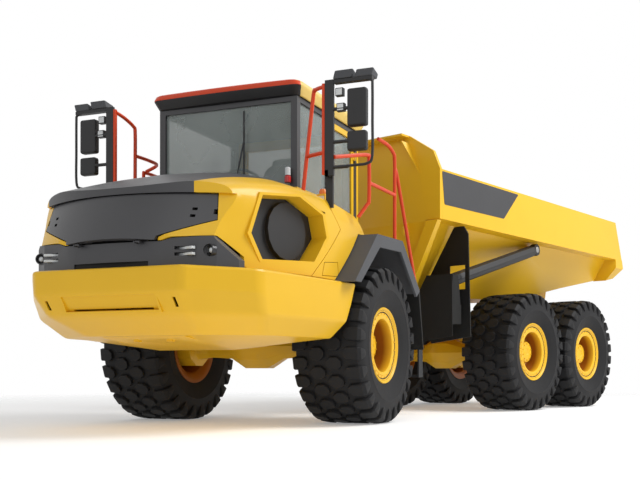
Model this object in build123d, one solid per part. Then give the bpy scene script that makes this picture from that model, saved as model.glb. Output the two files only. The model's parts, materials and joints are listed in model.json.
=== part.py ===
from build123d import *
import os
from math import atan2, cos, degrees, hypot, pi, radians, sin, sqrt

os.makedirs("parts", exist_ok=True)

# Articulated dump truck, millimetres. X forward, Y to the driver's left, Z up.
# The pieces are drawn with the ground under the front axle as zero and the rear unit straight
# behind. The rear unit then swings about the hitch pin, and the whole stands on its own centre.

# Wheels and tyres
tyre_radius = 805
tyre_width = 750
track = 2280
rim_width = 666
rim_flange_radius = 394
bead_radius = 305
lug_height = 34
lugs_per_side = 12
hub_radius = 215

# Places along the truck, from the front axle
hitch_x = -1210
bogie_front_x = -4175
bogie_rear_x = -5845
articulation = -16.6

# Chassis
ground_clearance = 560
roll_axis_z = 1000
front_rail_top = 1330
rear_rail_top = 1380
rear_rail_in, rear_rail_out = 250, 400
hitch_pin_radius = 50
pin_clearance = 0.3
piece_gap = 6
seam = 5

# Hood, grille and bumper
hood_bottom = 1405
bumper_top = 1390
bumper_wall = 20
hood_wall = 40
face_arc_radius = 1752
face_x = 2568
face_z = 1744
face_lean = 21
hood_hinge_x, hood_hinge_z = 905, 2440

# Cab
cab_front, cab_rear = 700, -850
cab_half_width = 800
cab_wall = 50
cab_floor_z = 1750
window_sill = 2360
window_head = 3210
header_height = 50
roof_depth = 168
door_wall = 45
glass_thickness = 8

# Bed
bed_half_width = 1350
bed_inside_half_width = 1245
bed_top = 2965
band_bottom = 2365
floor_wall = 60
lower_wall = 40
bed_front_x = -2050
bed_pivot_x, bed_pivot_z = -6150, 1280
bed_pin_radius = 55
guard_height = 460

# Hoist cylinders, one each side of the bed
hoist_y = 1235
hoist_base_x, hoist_base_z = -2400, 1645
hoist_eye_x, hoist_eye_z = -4600, 2262
hoist_barrel_radius = 82
hoist_rod_radius = 50
hoist_eye_radius = 85
hoist_eye_width = 90
bed_stroke_deg = 70

# Steering cylinders, one each side of the hitch
steer_base_x, steer_base_y = -310, 400
steer_eye_back, steer_eye_y = 100, 300
steer_barrel_radius = 52
steer_rod_radius = 30
steer_eye_radius = 55
steer_pin_radius = 24
hoist_pin_radius = 38

# Handrails
rail_tube = 38


def block(x0, x1, y0, y1, z0, z1):
    """A box between two opposite corners."""
    centre = Pos((x0 + x1) / 2, (y0 + y1) / 2, (z0 + z1) / 2)
    return centre * Box(abs(x1 - x0), abs(y1 - y0), abs(z1 - z0))


def side_cut(outline, y0, y1):
    """A plate whose (x, z) outline is seen from the side, from y0 to y1."""
    plane = Plane((0, y1, 0), x_dir=(1, 0, 0), z_dir=(0, -1, 0))
    return extrude(plane * make_face(Polyline(*outline, close=True)), abs(y1 - y0))


def front_cut(outline, x0, x1):
    """A plate whose (y, z) outline is seen from the front, from x0 to x1."""
    plane = Plane((min(x0, x1), 0, 0), x_dir=(0, 1, 0), z_dir=(1, 0, 0))
    return extrude(plane * make_face(Polyline(*outline, close=True)), abs(x1 - x0))


def plan_cut(outline, z0, z1):
    """A plate whose (x, y) outline is seen from above, from z0 to z1."""
    return extrude(Pos(0, 0, z0) * make_face(Polyline(*outline, close=True)), z1 - z0)


def mirrored(points):
    """A half outline of (y, z) points, closed by its own mirror image."""
    return points + [(-y, z) for y, z in reversed(points) if y != 0]


def both_sides(shape):
    """A left piece with its right-hand twin."""
    return [shape, mirror(shape, Plane.XZ)]


pin_flats = 8


def rod(start, end, radius):
    """A bar between two points, turned with flats so that it stays light."""
    path = Vector(*end) - Vector(*start)
    plane = Plane(start, z_dir=path)
    return extrude(plane * RegularPolygon(radius, pin_flats), path.length)


def rod_room(start, end, radius):
    """The bore that a bar of this radius turns in: its flats stand just off the bar's corners."""
    path = Vector(*end) - Vector(*start)
    reach = (radius + pin_clearance) / cos(pi / pin_flats)
    section = RegularPolygon(reach, pin_flats, rotation=180 / pin_flats)
    return extrude(Plane(start, z_dir=path) * section, path.length)


def true_bore(start, end, radius):
    """A truly round hole for a pin or hook from outside."""
    path = Vector(*end) - Vector(*start)
    return extrude(Plane(start, z_dir=path) * Circle(radius), path.length)


def flat_body(rings):
    """A closed body through rings of points with only flat faces: a twisted side becomes two triangles."""
    faces = [Face(Wire.make_polygon(rings[0][::-1])), Face(Wire.make_polygon(rings[-1]))]
    for low, high in zip(rings, rings[1:]):
        for index in range(len(low)):
            after = (index + 1) % len(low)
            a, b, c, d = (Vector(*point) for point in (low[index], low[after], high[after], high[index]))
            normal = (b - a).cross(d - a)
            if normal.length and abs((c - a).dot(normal.normalized())) < flat_tolerance:
                corners = [[a, b, c, d]]
            else:
                corners = [[a, b, c], [a, c, d]]
            faces += [Face(Wire.make_polygon(loop)) for loop in corners]
    body = Solid(Shell(faces))
    return Part() + body


flat_tolerance = 0.001


def flat_ring(radius, y, flats):
    """The corners of a regular polygon about the Y axis."""
    turns = [2 * pi * (index + 0.5) / flats for index in range(flats)]
    return [(radius * sin(turn), y, radius * cos(turn)) for turn in turns]


def drum(stations, flats):
    """A flat-sided turned piece about the Y axis through (radius, y) stations."""
    return flat_body([flat_ring(radius, y, flats) for radius, y in stations])


def rail(points, radius):
    """A handrail of straight runs with mitred corners."""
    path = Polyline(*points)
    section = Plane(path @ 0, z_dir=path % 0) * RegularPolygon(radius, 6)
    return sweep(section, path, transition=Transition.RIGHT)


def fused(parts):
    """One solid from the pieces of a list."""
    whole = parts[0]
    for part in parts[1:]:
        whole = whole + part
    return whole


# Wheels
half_track = track / 2
wheel_seat_y = 1090
disc_wall = 34
rim_lip = 15


def make_tyre():
    """A wide earthmover tyre: carcass with a row of slanted lugs on each shoulder."""
    half = tyre_width / 2
    floor_radius = tyre_radius - lug_height
    bead_y = rim_width / 2 - rim_lip - pin_clearance
    stations = [(400, -bead_y), (640, -half), (floor_radius, -half + 45)]
    carcass = drum(stations + [(radius, -y) for radius, y in reversed(stations)], lugs_per_side)
    bore = (bead_radius + pin_clearance) / cos(pi / lugs_per_side)
    carcass = carcass - drum([(bore, -half), (bore, half)], lugs_per_side)
    pitch = 360 / lugs_per_side
    chord = 2 * tyre_radius * sin(radians(pitch / 2))
    lug_plan = [(0.28 * chord, 20), (0.34 * chord, half - 5), (-0.22 * chord, half - 5), (-0.32 * chord, 20)]
    lug_top = sqrt(tyre_radius ** 2 - (0.34 * chord) ** 2)
    lug = plan_cut(lug_plan, floor_radius - 70, lug_top)
    lugs = []
    for index in range(lugs_per_side):
        lugs.append(Rot(0, index * pitch, 0) * lug)
        lugs.append(Rot(0, (index + 0.5) * pitch, 0) * mirror(lug, Plane.XZ))
    return fused([carcass] + lugs)


def make_rim(hub_reach, hub_end_radius):
    """A steel rim: flanged barrel, disc bolted to the axle hub, and the hub's cover."""
    half = rim_width / 2
    seat = wheel_seat_y + pin_clearance - half_track
    flanges = [drum([(rim_flange_radius, y), (rim_flange_radius, y + rim_lip)], rim_flats)
               for y in (-half, half - rim_lip)]
    barrel = fused([drum([(bead_radius, -half), (bead_radius, half)], rim_flats)] + flanges)
    dish = drum([(268, seat + disc_wall), (280, half - rim_lip + 2), (362, half)], rim_flats)
    back = drum([(285, -half), (265, seat)], rim_flats)
    cover = drum([(185, seat + 10), (168, hub_reach - 50), (hub_end_radius, hub_reach)], hub_flats)
    return fused([barrel - dish - back, cover])


rim_flats = 12
hub_flats = 10
tyre_shape = make_tyre()
front_rim_shape = make_rim(90, 105)
rear_rim_shape = make_rim(290, 120)


def wheel_at(shape, x, side):
    """A wheel piece on the left (1) or the right (-1), its outer face outwards."""
    placed = shape if side > 0 else mirror(shape, Plane.XZ)
    return Pos(x, side * half_track, tyre_radius) * placed


def axle_at(x, bulge):
    """A drive axle: differential in the middle, tapered tubes and a hub drum at each end."""
    half = [(bulge, 130), (135, 320), (118, 600), (140, 745), (hub_radius, 760),
            (hub_radius, wheel_seat_y)]
    stations = [(radius, -y) for radius, y in reversed(half)] + half
    return Pos(x, 0, tyre_radius) * drum(stations, hub_flats)


# Front frame
rail_bottom = 1075
outrigger_half = 830
cab_mount_top = cab_floor_z


def make_front_frame():
    """Two rails joined by cross members, with the two hitch lugs and the hitch pin behind."""
    rail_outline = [(-880, 870), (-880, front_rail_top - 60), (-500, front_rail_top),
                    (2350, front_rail_top), (2500, 1240), (2500, 1120), (700, rail_bottom),
                    (-350, rail_bottom), (-560, 870)]
    rails = both_sides(side_cut(rail_outline, 120, 225))
    # columns: rear end, front end, half width, bottom, top
    tie_rows = [(2330, 2500, 440, 1125, 1170), (900, 1000, 130, 1090, 1290),
                (-200, -100, 130, 1090, 1290), (-880, -800, 130, 1090, 1270)]
    ties = [block(x0, x1, -half, half, z0, z1) for x0, x1, half, z0, z1 in tie_rows]
    lug_outline = [(-820, -225), (-820, 225), (hitch_x + 40, 125), (hitch_x - 60, 125),
                   (hitch_x - 115, 60), (hitch_x - 115, -60), (hitch_x - 60, -125), (hitch_x + 40, -125)]
    lugs = [plan_cut(lug_outline, z0, z1) for z0, z1 in ((1190, 1250), (790, 850))]
    pin = rod((hitch_x, 0, 760), (hitch_x, 0, 1280), hitch_pin_radius)
    towers = [block(-70, 70, side * 120, side * 460, 1180, 1240) for side in (1, -1)]
    return fused(rails + ties + lugs + [pin] + towers + steer_anchors() + cab_outriggers())


def steer_anchors():
    """Forked brackets on the rails, with the pins that carry the steering cylinders."""
    anchors = []
    for side in (1, -1):
        x0, x1 = steer_base_x - 60, steer_base_x + 80
        for z0, z1 in ((1055, 1090), (910, 945)):
            anchors.append(block(x0, x1, side * 215, side * 470, z0, z1))
        anchors.append(block(x0, x1, side * 140, side * 225, 910, 1200))
        anchors.append(rod((steer_base_x, side * steer_base_y, roll_axis_z - 90),
                           (steer_base_x, side * steer_base_y, roll_axis_z + 90), steer_pin_radius))
    return anchors


def cab_outriggers():
    """Two cross beams on the rails that carry the cab and the fenders' inner edges."""
    beams = []
    for x0, x1 in ((480, 560), (-760, -680)):
        beams.append(block(x0, x1, -outrigger_half, outrigger_half, 1660, cab_mount_top))
        for side in (1, -1):
            beams.append(block(x0, x1, side * 150, side * 225, front_rail_top - 60, 1670))
    return beams


def make_front_axle():
    """The front axle, hung from the frame by a leg at each spring."""
    axle = axle_at(0, 245)
    legs = [block(-60, 60, side * 400, side * 460, tyre_radius + 60, 1180) for side in (1, -1)]
    return fused([axle] + legs)


# Bumper, belly and lamp band
# columns: z, rear end x, side y, chamfer x, chamfer y, nose x, nose y
bumper_rows = [(bumper_top, 640, 1400, 2130, 1185, 2620, 740),
               (1185, 745, 1400, 2110, 1185, 2612, 735),
               (1010, 850, 1395, 2050, 1170, 2480, 700),
               (845, 985, 1290, 1850, 1060, 2150, 560)]
bumper_recess_half = 465


def bumper_outline(z, back, side, chamfer_x, chamfer_y, nose_x, nose_y):
    """A level outline of the bumper, from its rear left end round the nose."""
    half = [(back, side), (chamfer_x, chamfer_y), (nose_x, nose_y)]
    return [(x, y, z) for x, y in half] + [(x, -y, z) for x, y in reversed(half)]


def ruled_body(outlines):
    """A body with straight sides between level outlines."""
    return flat_body(outlines)


def make_bumper():
    """The nose: an upright band, undercut below, wrapped round to both front wheels."""
    outer = ruled_body([bumper_outline(*row) for row in bumper_rows])
    wall = bumper_wall
    inner_rows = []
    for z, back, side, chamfer_x, chamfer_y, nose_x, nose_y in bumper_rows:
        level = z - wall if z == bumper_top else z
        inner_rows.append((level, back - 500, side - wall, chamfer_x - wall, chamfer_y - wall,
                           nose_x - wall, nose_y - wall / 2))
    below = (bumper_rows[-1][0] - 60,) + inner_rows[-1][1:]
    inner = ruled_body([bumper_outline(*row) for row in inner_rows + [below]])
    shell = outer - inner
    half = bumper_recess_half
    pocket = block(2500, 2600, -half - 30, half + 30, 1020, 1175) & outer
    shell = shell + (pocket - block(2550, 2700, -half, half, 1035, 1160))
    shell = shell - block(2550, 2700, -half, half, 1035, 1160)
    for side in (1, -1):
        shell = shell - block(2380, 2700, side * 620, side * 655, 1045, 1150)
    return shell - block(-900, 2310, -760, 760, 700, bumper_top + 10)


def make_belly():
    """The skid plate: folded under the engine from the bumper back to the axle."""
    fold = [(2440, 1020), (2080, 835), (1250, 742), (620, 790), (430, 880)]
    plate = side_cut(fold + [(x, z + 30) for x, z in reversed(fold)], -430, 430)
    hangers = [block(x0, x0 + 60, side * 150, side * 200, 800, top)
               for x0, top in ((1900, 1104.7), (760, 1076.2)) for side in (1, -1)]
    return fused([plate] + hangers)


# columns: x, y of the lamp band's bends, from the middle outwards
band_bends = [(2560, 0), (2535, 420), (2420, 790), (2360, 905), (2185, 1010)]
band_depth = 90
band_outline = [(0, 1597), (480, 1597), (560, 1625), (880, 1640), (1010, 1460), (1010, bumper_top),
                (0, bumper_top)]
# columns: y, z, radius of the round lamps, and y, z of the bar lamps
round_lamps = [(side * 855, 1524, 52) for side in (1, -1)]
bar_lamps = [(side * 666, z) for side in (1, -1) for z in (1492, 1542)]
lamp_depth = 45


def band_plane(y, z):
    """The plane of the lamp band's face at a place across it, facing outwards."""
    for (x0, y0), (x1, y1) in zip(band_bends, band_bends[1:]):
        if y0 <= abs(y) <= y1:
            x = x0 + (x1 - x0) * (abs(y) - y0) / (y1 - y0)
            side = 1 if y > 0 else -1
            out = Vector(y1 - y0, side * (x0 - x1), 0).normalized()
    return Plane((x, y, z), x_dir=(-out.Y, out.X, 0), z_dir=out)


def make_lamp_band():
    """The dark band between grille and bumper, with sockets for its lamps and a foot slot."""
    front = [(x, -y) for x, y in reversed(band_bends) if y > 0] + band_bends
    back = [(x - band_depth, y) for x, y in reversed(front)]
    band = plan_cut(front + back, bumper_top, 1700) & front_cut(mirrored(band_outline), 1900, 2700)
    band = band - block(2520, 2700, -370, 370, bumper_top - 5, bumper_top + 48)
    for y, z, radius in round_lamps:
        plane = band_plane(y, z)
        band = band - extrude(plane.offset(-lamp_depth) * RegularPolygon(radius, 12), lamp_depth + 40)
    for y, z in bar_lamps:
        plane = band_plane(y, z)
        band = band - extrude(plane.offset(-lamp_depth) * Rectangle(170, 27), lamp_depth + 40)
    x, z = grille_hinge_x, grille_hinge_z
    for y in grille_hinge_y:
        for y0 in (y - 28, y + 18):
            band = band + block(2520, x + 10, y0, y0 + 10, z - 12, z + 5)
        band = band + rod((x, y - 28, z), (x, y + 28, z), grille_pin_radius)
    return band


def make_head_lamps():
    """The lamps: two round ones and two pairs of bars, seated in the band's sockets."""
    lamps = []
    for y, z, radius in round_lamps:
        plane = band_plane(y, z)
        lamps.append(extrude(plane.offset(-lamp_depth) * RegularPolygon(radius - 2, 12), lamp_depth - 12))
    for y, z in bar_lamps:
        plane = band_plane(y, z)
        lamps.append(extrude(plane.offset(-lamp_depth) * Rectangle(166, 23), lamp_depth - 8))
    return lamps


# Hood, cowl and grille
# columns: x, then (y, z) of the crown, crown edge, crest, shoulder, side and foot
hood_rows = [
    (2520, [(0, 1985), (450, 1980), (700, 1972), (868, 1940), (868, 1780), (868, hood_bottom)]),
    (2330, [(0, 2095), (450, 2085), (735, 2065), (905, 1985), (885, 1780), (885, hood_bottom)]),
    (1900, [(0, 2290), (500, 2265), (855, 2200), (1040, 2085), (1072, 1780), (1072, hood_bottom)]),
    (1350, [(0, 2405), (520, 2375), (985, 2250), (1165, 2135), (1222, 1780), (1222, hood_bottom)]),
    (760, [(0, 2425), (560, 2385), (1090, 2205), (1235, 2110), (1290, 1780), (1300, hood_bottom)]),
    (150, [(0, 2420), (560, 2370), (1090, 2165), (1250, 2060), (1320, 1780), (1345, hood_bottom)]),
]
lip_bottom = 1966
hood_seam = [(905, 2600), (930, 2150), (735, 1905), (1285, hood_bottom)]
cowl_rear = [(876, hood_bottom), (322, 1918), (160, 1925), (250, 2110), (250, 2600)]
crown_split = [(2700, 640), (2330, 680), (1900, 800), (1350, 870), (100, 905)]
grille_outline = [(897, 1940), (873, 1783), (489, 1607), (-489, 1607), (-873, 1783), (-897, 1940)]
grille_wall = 45
grille_hinge_x, grille_hinge_z = 2592, 1592
grille_pin_radius = 7
grille_hinge_y = (-300, 300)


def hood_section(x, inset, rows):
    """One upright cross-section of the hood, drawn in by the wall where asked."""
    half = [(max(y - inset, 0), z - inset) for y, z in rows]
    return [(x, y, z) for y, z in half] + [(x, -y, z) for y, z in reversed(half) if y > 0]


def tilted_drum(radius):
    """A big drum whose front is the leaning, bowed face of the grille."""
    axis_x = face_x - face_arc_radius / cos(radians(face_lean))
    return Pos(axis_x, 0, face_z) * Rot(0, -face_lean, 0) * Cylinder(radius, 1600)


def body_skin():
    """The whole skin round the engine, from the nose back to the cab, open below."""
    outer = flat_body([hood_section(x, 0, rows) for x, rows in hood_rows])
    inner = flat_body([hood_section(x, hood_wall, rows) for x, rows in hood_rows])
    nose = Pos(2505 - face_arc_radius, 0, 1800) * Cylinder(face_arc_radius, 1600)
    upper = block(-500, 3000, -1500, 1500, lip_bottom, 2600)
    lower = block(-500, 3000, -1500, 1500, 1300, lip_bottom)
    bow = tilted_drum(face_arc_radius)
    face_wall = (bow - tilted_drum(face_arc_radius - 55)) & lower & outer
    skin = ((outer - inner) & nose & upper) + ((outer - inner) & bow & lower) + face_wall
    gap = piece_gap
    grille_room = [(0, lip_bottom), (910, lip_bottom), (873 + gap, 1783 - gap), (489 + gap, 1590), (0, 1590)]
    skin = skin - front_cut(mirrored(grille_room), 2100, 2900)
    band_room = [(0, 1600 + gap), (480, 1600 + gap), (560, 1625 + gap), (886, 1640 + gap),
                 (1020, 1460 + gap), (1020, 1380), (0, 1380)]
    return skin - front_cut(mirrored(band_room), 2080, 2900)


def make_hood_and_cowl():
    """The hood's dark crown and yellow sides, and the fixed cowl behind the seam."""
    skin = body_skin()
    hood_zone = side_cut(hood_seam + [(2900, hood_bottom), (2900, 2600)], -1500, 1500)
    cowl_seam = [(x - seam, z) for x, z in hood_seam]
    cowl_zone = side_cut(cowl_seam + cowl_rear, -1500, 1500)
    cowl_zone = cowl_zone - block(-900, cab_front + seam, -870, 870, 1300, 2700)
    crown_zone = plan_cut(crown_split + [(x, -y) for x, y in reversed(crown_split)], lip_bottom - 16, 2700)
    intakes = [intake_parts(side) for side in (1, -1)]
    hood = skin & hood_zone
    crown = hood & crown_zone
    sides = hood - crown_zone
    for funnel, bore, screen in intakes:
        sides = (sides + (funnel - crown_zone)) - bore
    cowl = skin & cowl_zone
    cowl_panels = cowl - crown_zone
    for side in (1, -1):
        cowl_panels = cowl_panels + block(900, 1180, side * 1265, side * 1295, bumper_top, hood_bottom + 5)
    cowl_crown = cowl & crown_zone
    for side in (1, -1):
        crown = crown + hood_knuckle(side)
        cowl_crown = cowl_crown + hood_clevis(side)
    return crown, sides, cowl_crown, cowl_panels, [row[2] for row in intakes]


hood_pin_radius = 9


def hood_clevis(side):
    """Two small lugs on the cowl with the hood's hinge pin between them."""
    x, z = hood_hinge_x, hood_hinge_z
    outline = [(x - 60, z - 62), (x - 15, z - 48), (x - 10, z - 16), (x + 14, z - 14), (x + 14, z + 14),
               (x - 14, z + 14), (x - 60, z - 20)]
    lugs = [side_cut(outline, *sorted((side * y, side * (y + 12)))) for y in (300, 358)]
    pin = rod((x, side * 300, z), (x, side * 370, z), hood_pin_radius)
    return fused(lugs + [pin])


def hood_knuckle(side):
    """The hood's own knuckle on that pin."""
    x, z = hood_hinge_x, hood_hinge_z
    y0, y1 = side * 316, side * 354
    strap = side_cut([(x, z - 15), (x, z + 15), (x + 60, z - 10), (x + 60, z - 60), (x + 14, z - 50)],
                     *sorted((y0, y1)))
    knuckle = strap + rod((x, y0, z), (x, y1, z), 16)
    return knuckle - rod_room((x, side * 300, z), (x, side * 370, z), hood_pin_radius)


# columns: x, y, z of the intake's corners on the left side
intake_corners = [(1900, 1057, 2050), (1415, 1185, 2110), (1080, 1240, 1990), (1020, 1253, 1785),
                  (1225, 1215, 1535), (1905, 1058, 1490), (2040, 1015, 1700)]
intake_depth = 150
fan_radius = 262


def intake_parts(side):
    """The flared funnel, the hole through it and the round fan screen behind, for one side."""
    first, last = intake_corners[-1], intake_corners[3]
    slant = atan2(last[1] - first[1], first[0] - last[0])
    out = Vector(sin(slant), side * cos(slant), 0)
    along = Vector(-cos(slant), side * sin(slant), 0)
    base = Vector(1500, side * 1150, 1800)
    flat = [((x - 1500) * -cos(slant) + (y - 1150) * sin(slant), z - 1800) for x, y, z in intake_corners]

    def section(depth, grow):
        plane = Plane(base + out * depth, x_dir=along, z_dir=out)
        points = [(u * grow, v * grow * side) for u, v in flat]
        return plane * make_face(Polyline(*points, close=True))

    bore = loft([section(-intake_depth - 60, 0.94), section(140, 1.0)], ruled=True)
    wall = loft([section(-intake_depth, 1.03), section(15, 1.06)], ruled=True)
    plate = extrude(section(-intake_depth - 30, 1.03), 30)
    ring_plane = Plane(base + out * (-intake_depth - 5) + along * 60, x_dir=along, z_dir=out)
    screen = plate + extrude(ring_plane * RegularPolygon(fan_radius, 16), 50)
    return wall, bore, screen


def make_grille():
    """The grille: a bowed, leaning panel that swings down to make a step."""
    panel = tilted_drum(face_arc_radius) - tilted_drum(face_arc_radius - grille_wall)
    panel = panel & front_cut(grille_outline, 2000, 2900)
    x, z = grille_hinge_x, grille_hinge_z
    for y in grille_hinge_y:
        tab = side_cut([(x - 8, z), (x - 30, 1625), (x - 5, 1625), (x + 8, z)], y - 12, y + 12)
        panel = panel + tab + rod((x, y - 12, z), (x, y + 12, z), 13)
        panel = panel - rod_room((x, y - 30, z), (x, y + 30, z), grille_pin_radius)
    return panel


# Under the hood
def make_engine():
    """The engine as one block on the rails."""
    return block(950, 2060, -390, 390, front_rail_top, 2120)


def make_cooling_pack():
    """Radiator and coolers behind the grille."""
    return block(2120, 2270, -690, 690, front_rail_top, 1900)


# Fenders and flaps
# columns: x, z of the arch from its front foot to the top of the flap
arch = [(880, bumper_top), (310, 1910), (-420, 1935), (-985, 1445)]
fender_inner, fender_outer = outrigger_half, 1500
fender_wall = 40
fender_lip = 125


def make_fenders():
    """Grey arches over both front wheels, each with a deep outer lip and an inner flange."""
    under = [(800, bumper_top), (285, 1910 - fender_wall), (-400, 1935 - fender_wall), (-945, 1410)]
    lip_under = [(735, bumper_top), (240, 1910 - fender_lip), (-370, 1935 - fender_lip), (-880, 1370)]
    fenders = []
    for side in (1, -1):
        skin = side_cut(arch + under[::-1], *sorted((side * fender_inner, side * fender_outer)))
        lip = side_cut(arch + lip_under[::-1], *sorted((side * (fender_outer - 30), side * fender_outer)))
        flange = side_cut([(600, 1660), (310, 1905), (-415, 1930), (-760, 1660)],
                          *sorted((side * fender_inner, side * (fender_inner + 25))))
        fenders.append(fused([skin, lip, flange]))
    return fenders


def make_wheel_flaps():
    """Black rubber flaps that carry the fenders down behind the front wheels."""
    outline = [(-985, 1445), (-1125, 790), (-1100, 785), (-945, 1410)]
    return [side_cut(outline, *sorted((side * fender_inner, side * fender_outer))) for side in (1, -1)]


# columns: z of the step, x of its rear edge
step_rows = [(470, -1275), (790, -1265), (1110, -1225), (1430, -1160)]


def make_steps():
    """The boarding steps behind the left front wheel, hung from the fender's rear slope."""
    treads = [block(x, x + 130, 985, 1425, z, z + 30) for z, x in step_rows]
    side_rail = [(-1130, 470), (-1130, 820), (-1003, 1445), (-900, 1445), (-900, 1570), (-990, 1560),
                 (-1090, 1460), (-1260, 830), (-1275, 470)]
    stiles = [side_cut(side_rail, y, y + 18) for y in (970, 1420)]
    return fused(treads + stiles)


# Cab
corner_post = 70
door_front_x, door_rear_x = -75, -715
roof_bottom = window_head + header_height
roof_top = roof_bottom + roof_depth
door_sill = 200
door_bottom, door_top = cab_floor_z + door_sill, window_head - seam
door_frame = 60
door_hinge_y = cab_half_width + 13
door_pin_radius = 7
door_hinge_z = (2060, 2960)


def make_cab_floor():
    """The cab's floor with its front, right and left lower walls."""
    wall = cab_wall
    half = cab_half_width
    floor = block(cab_rear, cab_front, -half, half, cab_floor_z, cab_floor_z + wall)
    front = block(cab_front - wall, cab_front, -half, half, cab_floor_z, window_sill)
    right = block(cab_rear + wall, cab_front, -half, -half + wall, cab_floor_z, window_sill)
    left = block(0, cab_front, half - wall, half, cab_floor_z, window_sill)
    sill = block(cab_rear + wall, 0, half - wall, half, cab_floor_z, cab_floor_z + door_sill - seam)
    return fused([floor, front, right, left, sill])


def make_cab_frame():
    """The posts and headers round the cab's windows."""
    half = cab_half_width
    post = corner_post
    sill_top = cab_floor_z + door_sill - seam
    # columns: rear x, front x, side, bottom z
    post_rows = [(cab_front - post, cab_front, 1, window_sill), (cab_front - post, cab_front, -1, window_sill),
                 (-70, 0, 1, sill_top), (cab_rear + cab_wall, door_rear_x - seam, 1, sill_top),
                 (cab_rear + cab_wall, -730, -1, window_sill)]
    posts = [block(x0, x1, side * (half - post), side * half, z0, roof_bottom)
             for x0, x1, side, z0 in post_rows]
    headers = [block(cab_front - post, cab_front, -half, half, window_head, roof_bottom)]
    for side in (1, -1):
        headers.append(block(cab_rear + cab_wall, cab_front, side * (half - post), side * half,
                             window_head, roof_bottom))
    x, y = door_rear_x, door_hinge_y
    hinges = []
    for z in door_hinge_z:
        hinges.append(rod((x, y, z - 70), (x, y, z + 70), 7))
        for z0 in (z - 75, z + 50):
            hinges.append(block(x - 40, x + 9, half + 5, y + 10, z0, z0 + 25))
            hinges.append(block(x - 40, x - 10, half - 5, y + 10, z0, z0 + 25))
    return fused(posts + headers + hinges)


def make_cab_rear():
    """The cab's rear wall with its window."""
    half = cab_half_width
    wall = block(cab_rear, cab_rear + cab_wall, -half, half, cab_floor_z + cab_wall, roof_bottom)
    return wall - block(cab_rear - 50, cab_rear + 100, -620, 620, window_sill, 3150)


def make_cab_roof():
    """The roof cap: it overhangs all round and is hollow over the cab."""
    # columns: z, rear x, front x, half width
    rows = [(roof_bottom, -900, 740, 830), (roof_bottom + 0.54 * roof_depth, -930, 800, 860), (roof_top - 20, -905, 780, 820),
            (roof_top, -860, 700, 740)]
    cap = ruled_body([[(x0, y, z), (x1 - 60, y, z), (x1, y - 150, z), (x1, 150 - y, z),
                       (x1 - 60, -y, z), (x0, -y, z)] for z, x0, x1, y in rows])
    return cap - block(-800, 640, -730, 730, roof_bottom - 10, roof_bottom + 0.54 * roof_depth)


def make_cab_glass():
    """The fixed panes: windscreen, right side, left front quarter and rear."""
    half = cab_half_width
    thick = glass_thickness
    post = corner_post
    screen = block(cab_front - 30, cab_front - 30 + thick, post - half, half - post, window_sill, window_head)
    right = block(-730, cab_front - post, -half + 20, -half + 20 + thick, window_sill, window_head)
    quarter = block(0, cab_front - post, half - 20 - thick, half - 20, window_sill, window_head)
    rear = block(cab_rear + 20, cab_rear + 20 + thick, -620, 620, window_sill, 3150)
    return [screen, right, quarter, rear]


def make_door():
    """The left door: a frame with a lower panel and a window opening."""
    y0, y1 = cab_half_width - door_wall, cab_half_width
    leaf = block(door_rear_x, door_front_x, y0, y1, door_bottom, door_top)
    window = block(door_rear_x + door_frame, door_front_x - door_frame, y0 - 10, y1 + 10,
                   2150, door_top - door_frame)
    handle = block(door_front_x - 50, door_front_x - 20, y1 - 5, y1 + 28, 2080, 2260)
    door = (leaf - window) + handle
    x, y = door_rear_x, door_hinge_y
    for z in door_hinge_z:
        door = door + rod((x, y, z - 45), (x, y, z + 45), 14) + block(x, x + 40, y1 - 5, y1 + 8, z - 45, z + 45)
        door = door - rod_room((x, y, z - 60), (x, y, z + 60), door_pin_radius)
    return door


def make_door_glass():
    """The door's pane."""
    y0 = cab_half_width - 28
    return block(door_rear_x + door_frame, door_front_x - door_frame, y0, y0 + glass_thickness,
                 2150, door_top - door_frame)


def make_seat():
    """The driver's seat: pedestal, cushion and back."""
    floor = cab_floor_z + cab_wall
    pedestal = block(-420, -80, -190, 190, floor, floor + 330)
    cushion = block(-480, 60, -260, 260, floor + 330, floor + 470)
    back = side_cut([(-480, floor + 400), (-340, floor + 470), (-470, floor + 1130), (-590, floor + 1130)],
                    -250, 250)
    return fused([pedestal, cushion, back])


def make_console():
    """The dashboard with the steering column and wheel."""
    floor = cab_floor_z + cab_wall
    dash = side_cut([(650, floor), (650, window_sill + 60), (560, window_sill + 90), (430, window_sill - 20),
                     (520, window_sill - 210), (560, floor)], -700, 700)
    column = rod((520, 0, floor + 430), (330, 0, floor + 700), 35)
    tilt = Plane((330, 0, floor + 700), z_dir=(-0.5, 0, 0.75))
    rim = extrude(tilt * (RegularPolygon(215, 12) - RegularPolygon(185, 12)), 28)
    spokes = extrude(tilt * Rectangle(390, 45), 16)
    return fused([dash, column, rim, spokes])


# Mirrors, rails and small outfit
mirror_x = 940


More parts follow.
